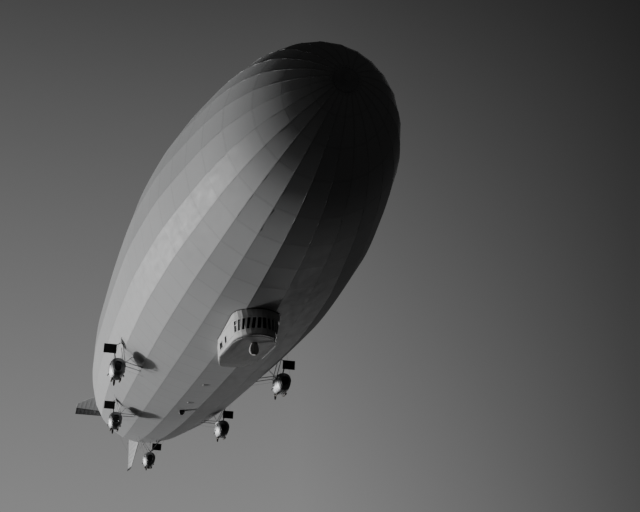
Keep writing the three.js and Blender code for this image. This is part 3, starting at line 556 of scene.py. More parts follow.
def about_hinge(droop):
    return Matrix.Translation((HINGE_X, 0, 0)) @ Matrix.Rotation(math.radians(droop), 4, "Z")


def cut_with(target, solids):
    """Cuts solids out of an object's mesh for good"""
    tool = linked("cutter", mesh_of("cutter", *merged(solids)))
    cut = target.modifiers.new("cut", "BOOLEAN")
    cut.operation = "DIFFERENCE"
    cut.solver = "EXACT"
    cut.object = tool
    made_plain(target, preserve_all_data_layers=True)
    bpy.data.objects.remove(tool)


for fin_node, surface_node, turn, droop in TAIL:
    about_ship = Matrix.Rotation(math.radians(turn), 4, "X")
    fin_skin = ribbed_skin(fin_node.replace("fin", "fin_cover"), FIN_ROOT, fin_ring, FIN_SAGGING)
    fin_skin.data.transform(about_ship)
    settle(fin_skin, "hull", tail_cloth, smooth=25)
    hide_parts(fin_node)

    lugs = []
    for height in LUG_HEIGHTS:
        low, high = height - LUG_WIDTH / 2, height + LUG_WIDTH / 2
        foot, half = HINGE_X + half_thick(height) + RUNNING_GAP + LUG_FOOT_DEEP, LUG_RADIUS * 0.7
        lugs.append(block((HINGE_X + LUG_RADIUS * 0.8, -half, low), (foot, half, high)))
        eye = ((low, LUG_RADIUS), (high, LUG_RADIUS), (high, LUG_BORE), (low, LUG_BORE))
        lugs.append(loft([[(HINGE_X + x, y, z) for x, y in ring_of(24, radius)] for z, radius in eye],
                         closed=True))
    piece(fin_node.replace("fin", "fin_lugs"), lugs, "hull", lug_steel, smooth=40,
          at=about_ship)

    hung = ribbed_skin(surface_node.replace("_", "_cover_"), SURFACE_ROOT, surface_ring, SURFACE_SAGGING)
    cut_with(hung, [block((-LUG_RADIUS - LUG_CLEARANCE, -SLOT_REACH, height - SLOT_HALF),
                          (SLOT_REACH, SLOT_REACH, height + SLOT_HALF)) for height in LUG_HEIGHTS])
    in_place = about_ship @ about_hinge(droop)
    hung.data.transform(in_place)
    settle(hung, surface_node, surface_cloth_painted_shade, smooth=25)
    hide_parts(surface_node)
    pins = [bar((0, 0, height - SLOT_HALF - PIN_END), (0, 0, height + SLOT_HALF + PIN_END), PIN_RADIUS, 16)
            for height in LUG_HEIGHTS]
    piece(surface_node.replace("_", "_pins_"), pins, surface_node, lug_steel, smooth=40,
          at=in_place)


# Hull fittings
# Battens stiffen the cloth over the bow, and a bolted plate at its tip takes the mooring cone. Small
# hoods along the top let gas out of the hull, and two hatches and a small scoop lie on the keel.
BATTEN_STATIONS = (0.62, 1, 1.6, 2.4, 3.5, 5, 7, 9.5, 12.5, 16)
NOSE_STATION = 0.6
# Radius of each ring of bolts in the nose plate, and how far it stands ahead
NOSE_BOLT_RINGS = ((0.105, 0.0085), (0.128, 0.001))
COLLAR = ((0.0, 0.0), (0.030, 0.0), (0.030, 0.002), (0.0245, 0.004), (0.0245, 0.0075), (0.0, 0.0075))
COLLAR_AHEAD, FACING_AHEAD = 0.0385, Matrix.Rotation(math.pi / 2, 4, "Y")
HOOD_STATIONS, HOOD_BEARINGS, HOOD_SUNK = range(22, 155, 12), (11, 13), 0.003
# Each ring's place ahead, half width and height
HOOD_RINGS = ((0.07, 0.008, 0.002), (0.05, 0.026, 0.014), (0.01, 0.036, 0.026), (-0.045, 0.036, 0.03),
              (-0.05, 0.03, 0.025))
SCOOP_STATION, SCOOP_ASIDE, SCOOP_HALF_WIDE, SCOOP_DEEP, SCOOP_SUNK = 93.3, -0.018, 0.042, 0.07, 0.004
# Each ring's place ahead, and its shares of the scoop's width and depth
SCOOP_RINGS = ((0.045, 0.9, 1.0), (0.04, 1.0, 1.06), (0.0, 0.96, 1.0), (-0.05, 0.7, 0.66), (-0.09, 0.3, 0.1))
HATCH_STATIONS, HATCH_HALF_LONG, HATCH_HALF_WIDE = (85.0, 69.8), 0.045, 0.035


def run_at(path, i, closed=False):
    """Direction of a path at one of its points, from the point before to the point after"""
    before = i - 1 if closed or i else 0
    after = (i + 1) % len(path) if closed or i < len(path) - 1 else i
    return Vector(path[after]) - Vector(path[before])


def ribbon(path, outwards, width, height, sunk=0.0008, closed=False):
    """A strip with sloped edges, laid along a path on a surface"""
    rings = []
    for i, (place, out) in enumerate(zip(path, outwards)):
        aside = run_at(path, i, closed).cross(out).normalized()
        rings.append([Vector(place) + aside * width * across + Vector(out) * lift for across, lift in
                      ((-0.5, -sunk), (-0.38, height), (0.38, height), (0.5, -sunk))])
    return loft(rings, closed)


def tube(path, radius, sides=8, closed=False):
    """A round tube along a path"""
    rings, spin, last_run = [], None, None
    for i, place in enumerate(path):
        run = run_at(path, i, closed).normalized()
        spin = last_run.rotation_difference(run) @ spin if spin else run.to_track_quat("Z", "Y")
        last_run = run
        rings.append([Vector(place) + spin @ Vector((x, y, 0)) for x, y in ring_of(sides, radius)])
    return loft(rings, closed)


def lathe(profile, sides=24):
    """Turned about the Z axis through (radius, height), upwards; a radius of 0 is one point"""
    points, rings, faces = [], [], []
    for radius, z in profile:
        ring = ring_of(sides if radius else 1, radius)
        rings.append(range(len(points), len(points) + len(ring)))
        points += [Vector((x, y, z)) for x, y in ring]
    for low, high in zip(rings, rings[1:]):
        for i in range(sides):
            j = (i + 1) % sides
            corners = (low[i % len(low)], low[j % len(low)], high[j % len(high)], high[i % len(high)])
            faces.append(tuple(dict.fromkeys(corners)))
    return points, faces + [tuple(end) for end in (rings[0][::-1], rings[-1]) if len(end) > 1]


def set_along_lines(solid_kind, size_socket, size_kind):
    """A tree of geometry nodes that sets a small solid at even steps along lines"""
    tree = bpy.data.node_groups.new("set_along_lines", "GeometryNodeTree")
    for socket, kind in (("Lines", "Geometry"), ("Spacing", "Float"), (size_socket, size_kind),
                         ("Turn", "Vector"), ("Finish", "Material")):
        tree.interface.new_socket(name=socket, in_out="INPUT", socket_type="NodeSocket" + kind)
    tree.interface.new_socket(name="Solids", in_out="OUTPUT", socket_type="NodeSocketGeometry")
    given = tree.nodes.new("NodeGroupInput").outputs
    curve = add(tree, "GeometryNodeMeshToCurve", {"Mesh": given["Lines"]}).outputs[0]
    spaced = add(tree, "GeometryNodeResampleCurve", {"Curve": curve, "Length": given["Spacing"]},
                 mode="LENGTH")
    solid = add(tree, solid_kind, {size_socket: given[size_socket]}).outputs[0]
    placed = add(tree, "GeometryNodeInstanceOnPoints", {"Points": spaced.outputs[0], "Instance": solid,
                                                        "Rotation": given["Turn"]}).outputs[0]
    real = add(tree, "GeometryNodeRealizeInstances", {"Geometry": placed}).outputs[0]
    done = add(tree, "GeometryNodeSetMaterial", {"Geometry": real, "Material": given["Finish"]}).outputs[0]
    tree.links.new(done, tree.nodes.new("NodeGroupOutput").inputs[0])
    return tree


head_tree = set_along_lines("GeometryNodeMeshIcoSphere", "Radius", "Float")
slat_tree = set_along_lines("GeometryNodeMeshCube", "Size", "Vector")


def rows_of(name, tree, lines, body, material, smooth=None, *, spacing, size, turn=(0, 0, 0)):
    """Runs such a tree on lines and keeps what it makes as a plain piece"""
    points, edges = [], []
    for line in lines:
        edges += [(len(points) + i, len(points) + i + 1) for i in range(len(line) - 1)]
        points += line
    made = linked(name, mesh_of("lines", points, edges=edges))
    work = made.modifiers.new("work", "NODES")
    work.node_group = tree
    settings = {"Spacing": spacing, "Radius": size, "Size": size, "Turn": turn, "Finish": material}
    for item in tree.interface.items_tree:
        if item.in_out == "INPUT" and item.name in settings:
            work[item.identifier] = settings[item.name]
    made_plain(made)
    settle(made, body, material, smooth)


def worn_metal(name, dark, light, roughness, metallic, scale, streaks=(1, 1, 1), bump=0.15):
    """Metal or paint with cloudy wear, its stains drawn out where the streaks say"""
    material, tree, shader = finish_of(name, light, roughness, metallic)
    stained = stamp(tree, stain_group, Vector=place_on(tree, streaks), Scale=scale)
    painted(tree, shader, stained["Mask"], dark, light)
    tree.links.new(maths(tree, "MULTIPLY_ADD", stained["Dirt"], 0.35, roughness - 0.17),
                   shader.inputs["Roughness"])
    raise_surface(tree, shader, stained["Dirt"], bump, 0.0008)
    return material


def paint_nodes(material, *nodes):
    for node in nodes:
        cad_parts[node].material_slots[0].material = material


def keel_at(station, aside=0.0):
    return Vector((along(station), aside, -hull_radius(station) * math.cos(FACET_ANGLE / 2)))


plate_paint = worn_metal("plate_paint", (0.36, 0.365, 0.37), (0.47, 0.475, 0.48), roughness=0.45,
                         metallic=0.35, scale=14.0)
dark_steel = worn_metal("dark_steel", (0.05, 0.05, 0.052), (0.12, 0.12, 0.125), roughness=0.42, metallic=0.8,
                        scale=22.0)
paint_nodes(plate_paint, "mooring_cone")

battens = []
for corner in range(FACETS):
    radial = facet_outward(corner - 0.5)
    path = [Vector((along(station), 0, 0)) + radial * hull_radius(station) for station in BATTEN_STATIONS]
    outs = [(radial * 0.02 + Vector((hull_radius(station + 0.2) - hull_radius(station), 0, 0))).normalized()
            for station in BATTEN_STATIONS]
    battens.append(ribbon(path, outs, width=0.012, height=0.0022, sunk=0.003))
piece("bow_battens", battens, "hull", tail_cloth, smooth=35)

bolt_rings = [[Vector((along(NOSE_STATION) + ahead, y, z)) for y, z in arc(range(0, 361, 10), radius)]
              for radius, ahead in NOSE_BOLT_RINGS]
rows_of("nose_plate_bolts", head_tree, bolt_rings, "hull", dark_steel, smooth=50,
        spacing=0.028, size=0.0028)
piece("mooring_collar", [lathe(COLLAR)], "hull", dark_steel, smooth=35,
      at=Matrix.Translation((along(NOSE_STATION) + COLLAR_AHEAD, 0, 0)) @ FACING_AHEAD)

hoods = []
for station in HOOD_STATIONS:
    for bearing in HOOD_BEARINGS:
        outward = facet_outward(bearing)
        aside = Vector((1, 0, 0)).cross(outward)
        foot = hull_point(station, bearing) - outward * HOOD_SUNK
        hoods.append(loft([[foot + Vector((ahead, 0, 0)) + aside * across + outward * lift
                            for across, lift in arc(range(0, 181, 20), half, tall)]
                           for ahead, half, tall in HOOD_RINGS]))
piece("gas_hoods", hoods, "hull", plate_paint, smooth=30)

scoop = [[keel_at(SCOOP_STATION, SCOOP_ASIDE) + Vector((
    ahead, SCOOP_HALF_WIDE * share * across, SCOOP_SUNK - (SCOOP_DEEP * deep + SCOOP_SUNK) * down ** 0.7))
    for across, down in arc(range(0, 181, 15))] for ahead, share, deep in SCOOP_RINGS]
piece("keel_scoop", [loft(scoop)], "hull", dark_steel, smooth=35, outwards=True)

hatch_frames, hatch_doors = [], []
for station in HATCH_STATIONS:
    middle = keel_at(station)
    half = Vector((HATCH_HALF_LONG, HATCH_HALF_WIDE, 0))
    rim = [middle + Vector((x * half.x, y * half.y, 0)) for x, y in ((1, 1), (-1, 1), (-1, -1), (1, -1))]
    hatch_frames.append(ribbon(rim, [Vector((0, 0, -1))] * 4, width=0.012, height=0.004, sunk=0.003,
                               closed=True))
    hatch_doors.append(block(middle - half - Vector((0, 0, 0.0022)), middle + half + Vector((0, 0, 0.004))))
piece("keel_hatch_frames", hatch_frames, "hull", plate_paint, smooth=35)
piece("keel_hatches", hatch_doors, "hull", plate_paint, smooth=35)


# Control and passenger car
# A plywood and cloth box on a light frame, painted pale, with a curved front of tall windows.
# The frames of the windows stand a little proud; a dark strip at the hull joint and the tail's underside are
# painted shade.
CAR_CORNER, CAR_REAR = 5.95, 5.05
CAR_TOP, CAR_FLOOR = -1.2, -1.485
CAR_TOP_HALF, CAR_FLOOR_HALF = 0.265, 0.22
CAR_TOP_REACH, CAR_FLOOR_REACH = 0.39, 0.47
CAR_LEAN = math.atan((CAR_TOP_HALF - CAR_FLOOR_HALF) / (CAR_TOP - CAR_FLOOR))
FRONT_STEPS = 14
# Angle from dead ahead and width of each front window, and the height of their sill, head and bar
FRONT_WINDOWS = ((6.5, 0.04), (19.5, 0.04), (32.5, 0.04), (45.5, 0.044), (58.5, 0.05), (72, 0.07))
FRONT_SILL, FRONT_HEAD, FRONT_BAR = -1.415, -1.295, -1.34
# Station, width, sill and head of each side window
SIDE_WINDOWS = ((39.7, 0.09, 0.07, 0.14), (42.7, 0.16, 0.065, 0.135))
WIDE_FRONT, WIDE_SIDE = 0.06, 0.1
DOOR_EDGES, DOOR_FOOT, DOOR_HEAD = (37.6, 38.5), 0.012, 0.205
DOOR_WINDOW_EDGES, DOOR_SILL, DOOR_WINDOW_HEAD = (37.78, 38.32), 0.105, 0.185
# Height up the door and stand-off of each bend of its handle
DOOR_HANDLE = ((0.098, 0.0), (0.098, 0.008), (0.094, 0.0105), (0.078, 0.0105), (0.074, 0.008), (0.074, 0.0))
CAR_WEAR = {"dark": (0.52, 0.52, 0.51), "light": (0.68, 0.68, 0.67), "roughness": 0.5, "metallic": 0.0,
            "scale": 5.0, "streaks": (1.2, 1.2, 0.35), "bump": 0.1}
# The tail's keel line, which rises aft of its start by a power of the distance; below it the tail is painted
# shade
TAIL_START, TAIL_LENGTH, TAIL_RISE, TAIL_POWER = 4.75, 0.65, 0.095, 1.7


def front_point(angle, z, out=0.0):
    """Point on the flat-sided front wall: angle from dead ahead, towards port"""
    rise = (z - CAR_FLOOR) / (CAR_TOP - CAR_FLOOR)
    reach = CAR_FLOOR_REACH + (CAR_TOP_REACH - CAR_FLOOR_REACH) * rise + out
    half = CAR_FLOOR_HALF + (CAR_TOP_HALF - CAR_FLOOR_HALF) * rise + out
    step = 180 / FRONT_STEPS
    before = min(math.floor((angle + 90) / step + 1e-6), FRONT_STEPS - 1)
    near, far = (Vector((CAR_CORNER + x, y, z)) for x, y in
                 arc([before * step - 90, (before + 1) * step - 90], reach, half))
    return near.lerp(far, (angle + 90) / step - before)


def front_wall(start, ahead, z):
    """Point where a level line from inside the car meets the flat-sided front wall"""
    step = 180 / FRONT_STEPS
    ring = [front_point(i * step - 90, z) for i in range(FRONT_STEPS)] + [front_point(90 - 1e-4, z)]
    found = Vector((start.x, start.y, z))
    for a, b in zip(ring, ring[1:]):
        edge = b - a
        across = ahead.x * edge.y - ahead.y * edge.x
        if abs(across) < 1e-9:
            continue
        reach = ((a.x - start.x) * edge.y - (a.y - start.y) * edge.x) / across
        share = ((a.x - start.x) * ahead.y - (a.y - start.y) * ahead.x) / across
        if -1e-6 <= share <= 1 + 1e-6 and reach > -0.2:
            found = Vector((start.x, start.y, z)) + ahead * reach
    return found


def side_point(side, aft, up, out=0.0):
    """Point on a leaning side wall: distance aft of the front's corner, up the slope, and outwards"""
    return Vector((CAR_CORNER - aft,
                   side * (CAR_FLOOR_HALF + up * math.sin(CAR_LEAN) + out * math.cos(CAR_LEAN)),
                   CAR_FLOOR + up * math.cos(CAR_LEAN) - out * math.sin(CAR_LEAN)))


def on_door(u, v, out):
    return side_point(1, u, v, out)


def frame_round(place, low, high, border, proud, lap=0.0015, steps=3):
    """A frame with rounded corners; place(u, v, out) puts a point of its flat plan in the ship"""
    rings = []
    for inset, out in ((-border, -0.001), (-border * 0.75, proud), (lap * 0.3, proud), (lap, -0.001)):
        turn = max(border * 0.9 - inset, 0.0006)
        left, foot = (value + inset + turn for value in low)
        right, head = (value - inset - turn for value in high)
        rings.append([place(x + u, y + v, out) for x, y, start in
                      ((right, head, 0), (left, head, 90), (left, foot, 180), (right, foot, 270))
                      for u, v in arc([start + 90 * i / steps for i in range(steps + 1)], turn)])
    return loft(rings, closed=True)


car_paint = worn_metal("car_paint", **CAR_WEAR)
floor_paint_worn = worn_metal("floor_paint_worn", (0.12, 0.12, 0.12), (0.2, 0.2, 0.197), roughness=0.6,
                              metallic=0.0, scale=7.0, streaks=(0.4, 2, 1), bump=0.2)
# Near black: paint on the hand rail, and painted shade on the strip over the car's joint with the hull
dark_trim_and_painted_shade = worn_metal("dark_trim_and_painted_shade", (0.035, 0.035, 0.036), (0.075, 0.075, 0.077), roughness=0.5,
                       metallic=0.1, scale=18.0)
light_trim = worn_metal("light_trim", (0.42, 0.42, 0.42), (0.6, 0.6, 0.6), roughness=0.35, metallic=0.6,
                        scale=25.0)
window_glass, glass_tree, glass_shader = finish_of("window_glass", (0.045, 0.05, 0.053), 0.06,
                                                   Transmission_Weight=0.75, IOR=1.15)
smears = noise(glass_tree, place_on(glass_tree), 9.0, 4.0)
glass_tree.links.new(maths(glass_tree, "MULTIPLY_ADD", smears, 0.16, 0.01), glass_shader.inputs["Roughness"])
tail_paint_with_painted_shade = worn_metal("tail_paint_with_painted_shade", **CAR_WEAR)
tail_tree = tail_paint_with_painted_shade.node_tree
tail_shader = tail_tree.nodes["Principled BSDF"]
# The underside of the car's tail, below a keel line rising aft, is painted near black as painted shade
tail_place = add(tail_tree, "ShaderNodeSeparateXYZ", {0: place_on(tail_tree)}).outputs
behind = maths(tail_tree, "DIVIDE", maths(tail_tree, "SUBTRACT", TAIL_START, tail_place["X"]), TAIL_LENGTH,
               clamp=True)
tail_rise = maths(tail_tree, "MULTIPLY", TAIL_RISE, maths(tail_tree, "POWER", behind, TAIL_POWER))
painted_shade_below = maths(tail_tree, "LESS_THAN", maths(tail_tree, "SUBTRACT", tail_place["Z"], tail_rise),
                   CAR_FLOOR + 0.011)
painted(tail_tree, tail_shader, painted_shade_below, tail_shader.inputs["Base Color"].links[0].from_socket,
        (0.11, 0.11, 0.108))
paint_nodes(car_paint, "car_front", "car_side_port", "car_side_starboard", "car_door")
paint_nodes(floor_paint_worn, "car_floor")
paint_nodes(tail_paint_with_painted_shade, "car_tail")
paint_nodes(window_glass, "car_glass_front", "car_glass_port", "car_glass_starboard")
paint_nodes(dark_steel, "rudder_stand", "elevator_stand")

window_frames, glazing_bars = [], []
reach, half = (CAR_TOP_REACH + CAR_FLOOR_REACH) / 2, (CAR_TOP_HALF + CAR_FLOOR_HALF) / 2
for angle, width in FRONT_WINDOWS:
    for side in (1, -1):
        bearing = math.radians(side * angle)
        facing = math.atan2(reach * math.sin(bearing), half * math.cos(bearing))
        ahead = Vector((math.cos(facing), math.sin(facing), 0))
        across = Vector((-math.sin(facing), math.cos(facing), 0))
        middle = Vector((CAR_CORNER + reach * math.cos(bearing), half * math.sin(bearing), 0))

        def on_front(u, v, out, middle=middle, ahead=ahead, across=across):
            return front_wall(middle + across * u, ahead, v) + ahead * out

        window_frames.append(frame_round(on_front, (-width / 2, FRONT_SILL), (width / 2, FRONT_HEAD),
                                         border=0.005, proud=0.0028))
        if width > WIDE_FRONT:
            glazing_bars.append(tube([on_front(u, FRONT_BAR, -0.003) for u in (-width / 2, 0, width / 2)],
                                     radius=0.0016, sides=6))
for side in (1, -1):
    def on_side(u, v, out, side=side):
        return side_point(side, u, v, out)

    for station, width, sill, head in SIDE_WINDOWS:
        fore = CAR_CORNER - along(station) - width / 2
        window_frames.append(frame_round(on_side, (fore, sill), (fore + width, head), border=0.005,
                                         proud=0.0028))
        for share in (1 / 3, 2 / 3) if width > WIDE_SIDE else (1 / 2,):
            glazing_bars.append(tube([on_side(fore + width * share, v, -0.003)
                                      for v in (sill - 0.001, head + 0.001)], radius=0.0022, sides=6))
piece("window_frames", window_frames, "hull", light_trim, smooth=35, outwards=True)
piece("glazing_bars", glazing_bars, "hull", light_trim, smooth=40)

light_fore, light_aft = (CAR_CORNER - along(station) for station in DOOR_WINDOW_EDGES)
door_frame = frame_round(on_door, (light_fore, DOOR_SILL), (light_aft, DOOR_WINDOW_HEAD), border=0.005,
                         proud=0.0025)
piece("door_window_frame", [door_frame], "car_door", light_trim, smooth=35, outwards=True)
pane_points, pane_faces = block((light_fore - 0.003, DOOR_SILL - 0.003, -0.0022),
                                (light_aft + 0.003, DOOR_WINDOW_HEAD + 0.003, -0.0038))
piece("door_pane", [([on_door(*point) for point in pane_points], pane_faces)], "car_door",
      window_glass, outwards=True)
door_fore, door_aft = (CAR_CORNER - along(station) for station in DOOR_EDGES)
handle = tube([on_door(door_aft - 0.012, v, out) for v, out in DOOR_HANDLE], radius=0.0016)
piece("door_handle", [handle], "car_door", dark_steel, smooth=40, outwards=True)
panel_edge = frame_round(on_door, (door_fore + 0.014, 0.026), (door_aft - 0.014, 0.088), border=0.003,
                         proud=0.0012, lap=0.003)
piece("door_panel_moulding", [panel_edge], "car_door", car_paint, smooth=35, outwards=True)
jambs = (door_fore - 0.0225, door_aft + 0.009)
stop_strips = [ribbon([side_point(1, u, v, 0.0005) for v in (DOOR_FOOT - 0.009, DOOR_HEAD + 0.009)],
                      [Vector((0, math.cos(CAR_LEAN), -math.sin(CAR_LEAN)))] * 2, width=0.004, height=0.0016)
               for u in jambs]
piece("door_jamb_strips", stop_strips, "hull", light_trim, smooth=35)


# Strips round the car
# Half-round wooden mouldings at the floor, the waist and the head of the windows, screwed to the
# walls. A dark strip over the joint between the walls and the hull is painted shade in that crease.
# Height, width and thickness of each moulding, and whether it runs on over the door
MOULDINGS = ((CAR_FLOOR + 0.004, 0.009, 0.005, True), (-1.432, 0.0045, 0.0022, False),
             (-1.274, 0.0045, 0.0022, True))
SHADE_STRIP_SHARES = (0.08, 0.3, 0.55, 0.8, 1.0)
INSIDE_SKIN = 0.9935


def car_outline(z, out=0.0, rear=CAR_REAR):
    """Points round the car at one height, from starboard astern by the front to port astern"""
    rise = (z - CAR_FLOOR) / math.cos(CAR_LEAN)
    aft = [share * (CAR_CORNER - rear) for share in (0, 0.5, 1)]
    front = [front_point(180 / FRONT_STEPS * i - 90, z, out) for i in range(1, FRONT_STEPS)]
    return ([side_point(-1, u, rise, out) for u in reversed(aft)] + front
            + [side_point(1, u, rise, out) for u in aft])


def flat_outwards(path):
    """Level direction away from the car at each point of an outline round it"""
    runs = [run_at(path, i) for i in range(len(path))]
    return [Vector((run.y, -run.x, 0)).normalized() for run in runs]


def below_skin(spots):
    """The last of some points, going up a wall, that is still outside the hull"""
    last = spots[0]
    for spot in spots:
        if math.hypot(spot.y, spot.z) < hull_radius(station_at(spot.x)) * INSIDE_SKIN:
            break
        last = spot
    return last


strakes = []
for z, width, height, past_door in MOULDINGS:
    outline = car_outline(z)
    runs = [outline]
    if not past_door:
        ends = [side_point(1, u, (z - CAR_FLOOR) / math.cos(CAR_LEAN)) for u in jambs]
        runs = [outline[:-2] + ends[:1], ends[1:] + outline[-2:]]
    strakes += [ribbon(run, flat_outwards(run), width, height) for run in runs]
piece("car_strakes", strakes, "hull", light_trim, smooth=35)
# The dark strip round the top of the car is painted shade in its joint with the hull
shade_strip_starboard, shade_strip_port = (
    [below_skin([side_point(side, (CAR_CORNER - CAR_REAR) * share, 0.2 + 0.0025 * i) for i in range(60)])
     for share in SHADE_STRIP_SHARES] for side in (-1, 1))
shade_strip_front = [below_skin([front_point(angle, -1.24 + 0.002 * i) for i in range(40)])
               for angle in range(-90, 91, 6)]
shade_strip = shade_strip_starboard[::-1] + shade_strip_front + shade_strip_port
piece("car_top_shade_strip", [ribbon(shade_strip, flat_outwards(shade_strip), width=0.02, height=0.006, sunk=0.004)],
      "hull", dark_trim_and_painted_shade, smooth=35)


# Hand rail
# A painted steel tube round the front of the car, where the landing party takes hold. Short
# stanchions hold it below the edge of the floor.
RAIL_HEIGHT, RAIL_REAR, RAIL_RADIUS, STANCHION_RADIUS = CAR_FLOOR - 0.026, 5.3, 0.0028, 0.0018
rail_path = [Vector((p.x, p.y, RAIL_HEIGHT)) for p in car_outline(CAR_FLOOR + 0.003, 0.006, RAIL_REAR)]
rails = [tube(rail_path, RAIL_RADIUS)]
rails += [bar(p, Vector((p.x, p.y * 0.965, CAR_FLOOR - 0.007)), STANCHION_RADIUS, sides=6)
          for p in rail_path[1:-1:2]]
piece("landing_rail", rails, "hull", dark_trim_and_painted_shade, smooth=40)


# Cabin
# A wooden bulkhead with a doorway closes the control room, and a chart table stands behind it.
# Four rows of light wicker chairs stand loose on the floor.
BULKHEAD_REAR, BULKHEAD_FRONT, BULKHEAD_HEAD = 5.655, 5.661, -1.24
TABLE_TOP = -1.40
CHAIR_ROWS, CHAIR_ASIDE, SEAT_HEIGHT, BACK_FOOT = (5.12, 5.25, 5.38, 5.51), 0.125, CAR_FLOOR + 0.04, 0.052
SEAT = ((0.0, 0.0), (0.026, 0.0), (0.03, 0.006), (0.03, 0.012), (0.022, 0.015), (0.0, 0.0155))
floor_top = CAR_FLOOR + 0.0005
cabin_wood, cabin_tree, cabin_shader = finish_of("cabin_wood", (0.16, 0.11, 0.075), 0.4, Coat_Weight=0.3)
cabin_grain = noise(cabin_tree, place_on(cabin_tree, (3, 22, 22)), 6.0, 6.0, Distortion=0.6)
painted(cabin_tree, cabin_shader, cabin_grain, (0.09, 0.06, 0.04), (0.22, 0.15, 0.1))
joinery = [block((BULKHEAD_REAR, left, foot), (BULKHEAD_FRONT, right, BULKHEAD_HEAD))
           for left, right, foot in ((-0.212, -0.03, floor_top), (0.03, 0.206, floor_top),
                                     (-0.0299, 0.0299, -1.28))]
joinery.append(block((5.74, -0.17, TABLE_TOP), (5.86, -0.05, TABLE_TOP + 0.006)))
joinery += [block((x, y, floor_top), (x + 0.01, y + 0.01, TABLE_TOP - 0.001))
            for x, y in ((5.75, -0.16), (5.84, -0.16), (5.79, -0.075))]
piece("cabin_joinery", joinery, "hull", cabin_wood, smooth=35)
wicker, wicker_tree, wicker_shader = finish_of("wicker", (0.3, 0.24, 0.17), 0.6)
plait = add(wicker_tree, "ShaderNodeTexWave", {"Scale": 120.0, "Distortion": 1.5,
                                               "Vector": place_on(wicker_tree)}).outputs["Fac"]
painted(wicker_tree, wicker_shader, plait, (0.16, 0.12, 0.08), (0.36, 0.29, 0.2))
raise_surface(wicker_tree, wicker_shader, plait, 0.5, 0.001)
chairs = []
for x in CHAIR_ROWS:
    for y in (-CHAIR_ASIDE, CHAIR_ASIDE):
        chairs.append(merged([lathe(SEAT, sides=16)], Matrix.Translation((x, y, SEAT_HEIGHT))))
        back_angles = range(70, 291, 20)
        tops = [BACK_FOOT + 0.045 * max(0.25, math.cos(math.radians((a - 180) * 0.8))) for a in back_angles]
        for drop in (0, 0.012, 0.024, 0.036):
            hoop = [Vector((x + dx, y + dy, CAR_FLOOR + max(top - drop, BACK_FOOT)))
                    for (dx, dy), top in zip(arc(back_angles, 0.027), tops)]
            chairs.append(tube(hoop, radius=0.0022, sides=6))
        chairs += [bar((x + dx, y + dy, floor_top), (x + dx * 0.8, y + dy * 0.8, SEAT_HEIGHT + 0.001),
                       radius=0.002, sides=6) for dx in (-0.02, 0.02) for dy in (-0.02, 0.02)]
piece("cabin_chairs", chairs, "hull", wicker, smooth=40)


# Bumpers
# Air bags of rubbered canvas, sewn from eight gores, one under the control car and one under the
# centre engine car. Roped seams hold the gores in, and the air swells the canvas between them.
CAR_BAG = ((0.0, 0.022), (0.004, 0.03), (0.01, 0.04), (0.022, 0.048), (0.035, 0.053), (0.052, 0.0545),
           (0.07, 0.053), (0.088, 0.048), (0.105, 0.041), (0.116, 0.034), (0.124, 0.031), (0.1285, 0.0305))
CENTRE_BAG = ((0.0, 0.018), (0.003, 0.025), (0.008, 0.03), (0.018, 0.034), (0.03, 0.036), (0.043, 0.0355))
GORES, GORE_STEPS = 8, 8
PRESSED_IN, SWELL_LIMIT, CLOTH_STEPS, ROPE_SUNK = 0.965, 0.006, 20, 0.0006
# Height of the sewn foot, depth of the sewn head and half width of a sewn seam in degrees
SEWN_FOOT, SEWN_HEAD, SEWN_SEAM = 0.0015, 0.006, 1
AIR = {"quality": 6, "mass": 0.1, "tension_stiffness": 5, "compression_stiffness": 5,
       "bending_stiffness": 0.4, "use_pressure": True, "uniform_pressure_force": 4,
       "vertex_group_mass": "sewn"}


def through(rows, steps, closed=False):
    """A smooth curve through rows of numbers, with even steps from each to the next"""
    count, found = len(rows), []
    for i in range(count if closed else count - 1):
        near = [rows[(i + k) % count] if closed else rows[min(max(i + k, 0), count - 1)]
                for k in (-1, 0, 1, 2)]
        for t in (step / steps for step in range(steps)):
            found.append(tuple(0.5 * (2 * b + (c - a) * t + (2 * a - 5 * b + 4 * c - d) * t * t
                                      + (3 * b - a - 3 * c + d) * t**3) for a, b, c, d in zip(*near)))
    return found if closed else found + [tuple(rows[-1])]


bag_canvas, bag_tree, bag_shader = finish_of("bag_canvas", (0.7, 0.695, 0.68), 0.8, Sheen_Weight=1.0)
bag_weave = stamp(bag_tree, weave_group, Vector=place_on(bag_tree), Threads=420.0)
bag_stain = stamp(bag_tree, stain_group, Vector=place_on(bag_tree), Scale=16.0)
painted(bag_tree, bag_shader, bag_stain["Mask"], (0.66, 0.655, 0.64), (0.86, 0.855, 0.84))
raise_surface(bag_tree, bag_shader, maths(bag_tree, "MULTIPLY_ADD", bag_weave["Height"], 0.7,
                                          maths(bag_tree, "MULTIPLY", bag_stain["Dirt"], 0.6)), 0.4, 0.0008)
roping = worn_metal("roping", (0.16, 0.14, 0.11), (0.3, 0.27, 0.22), roughness=0.8, metallic=0.0, scale=40.0)


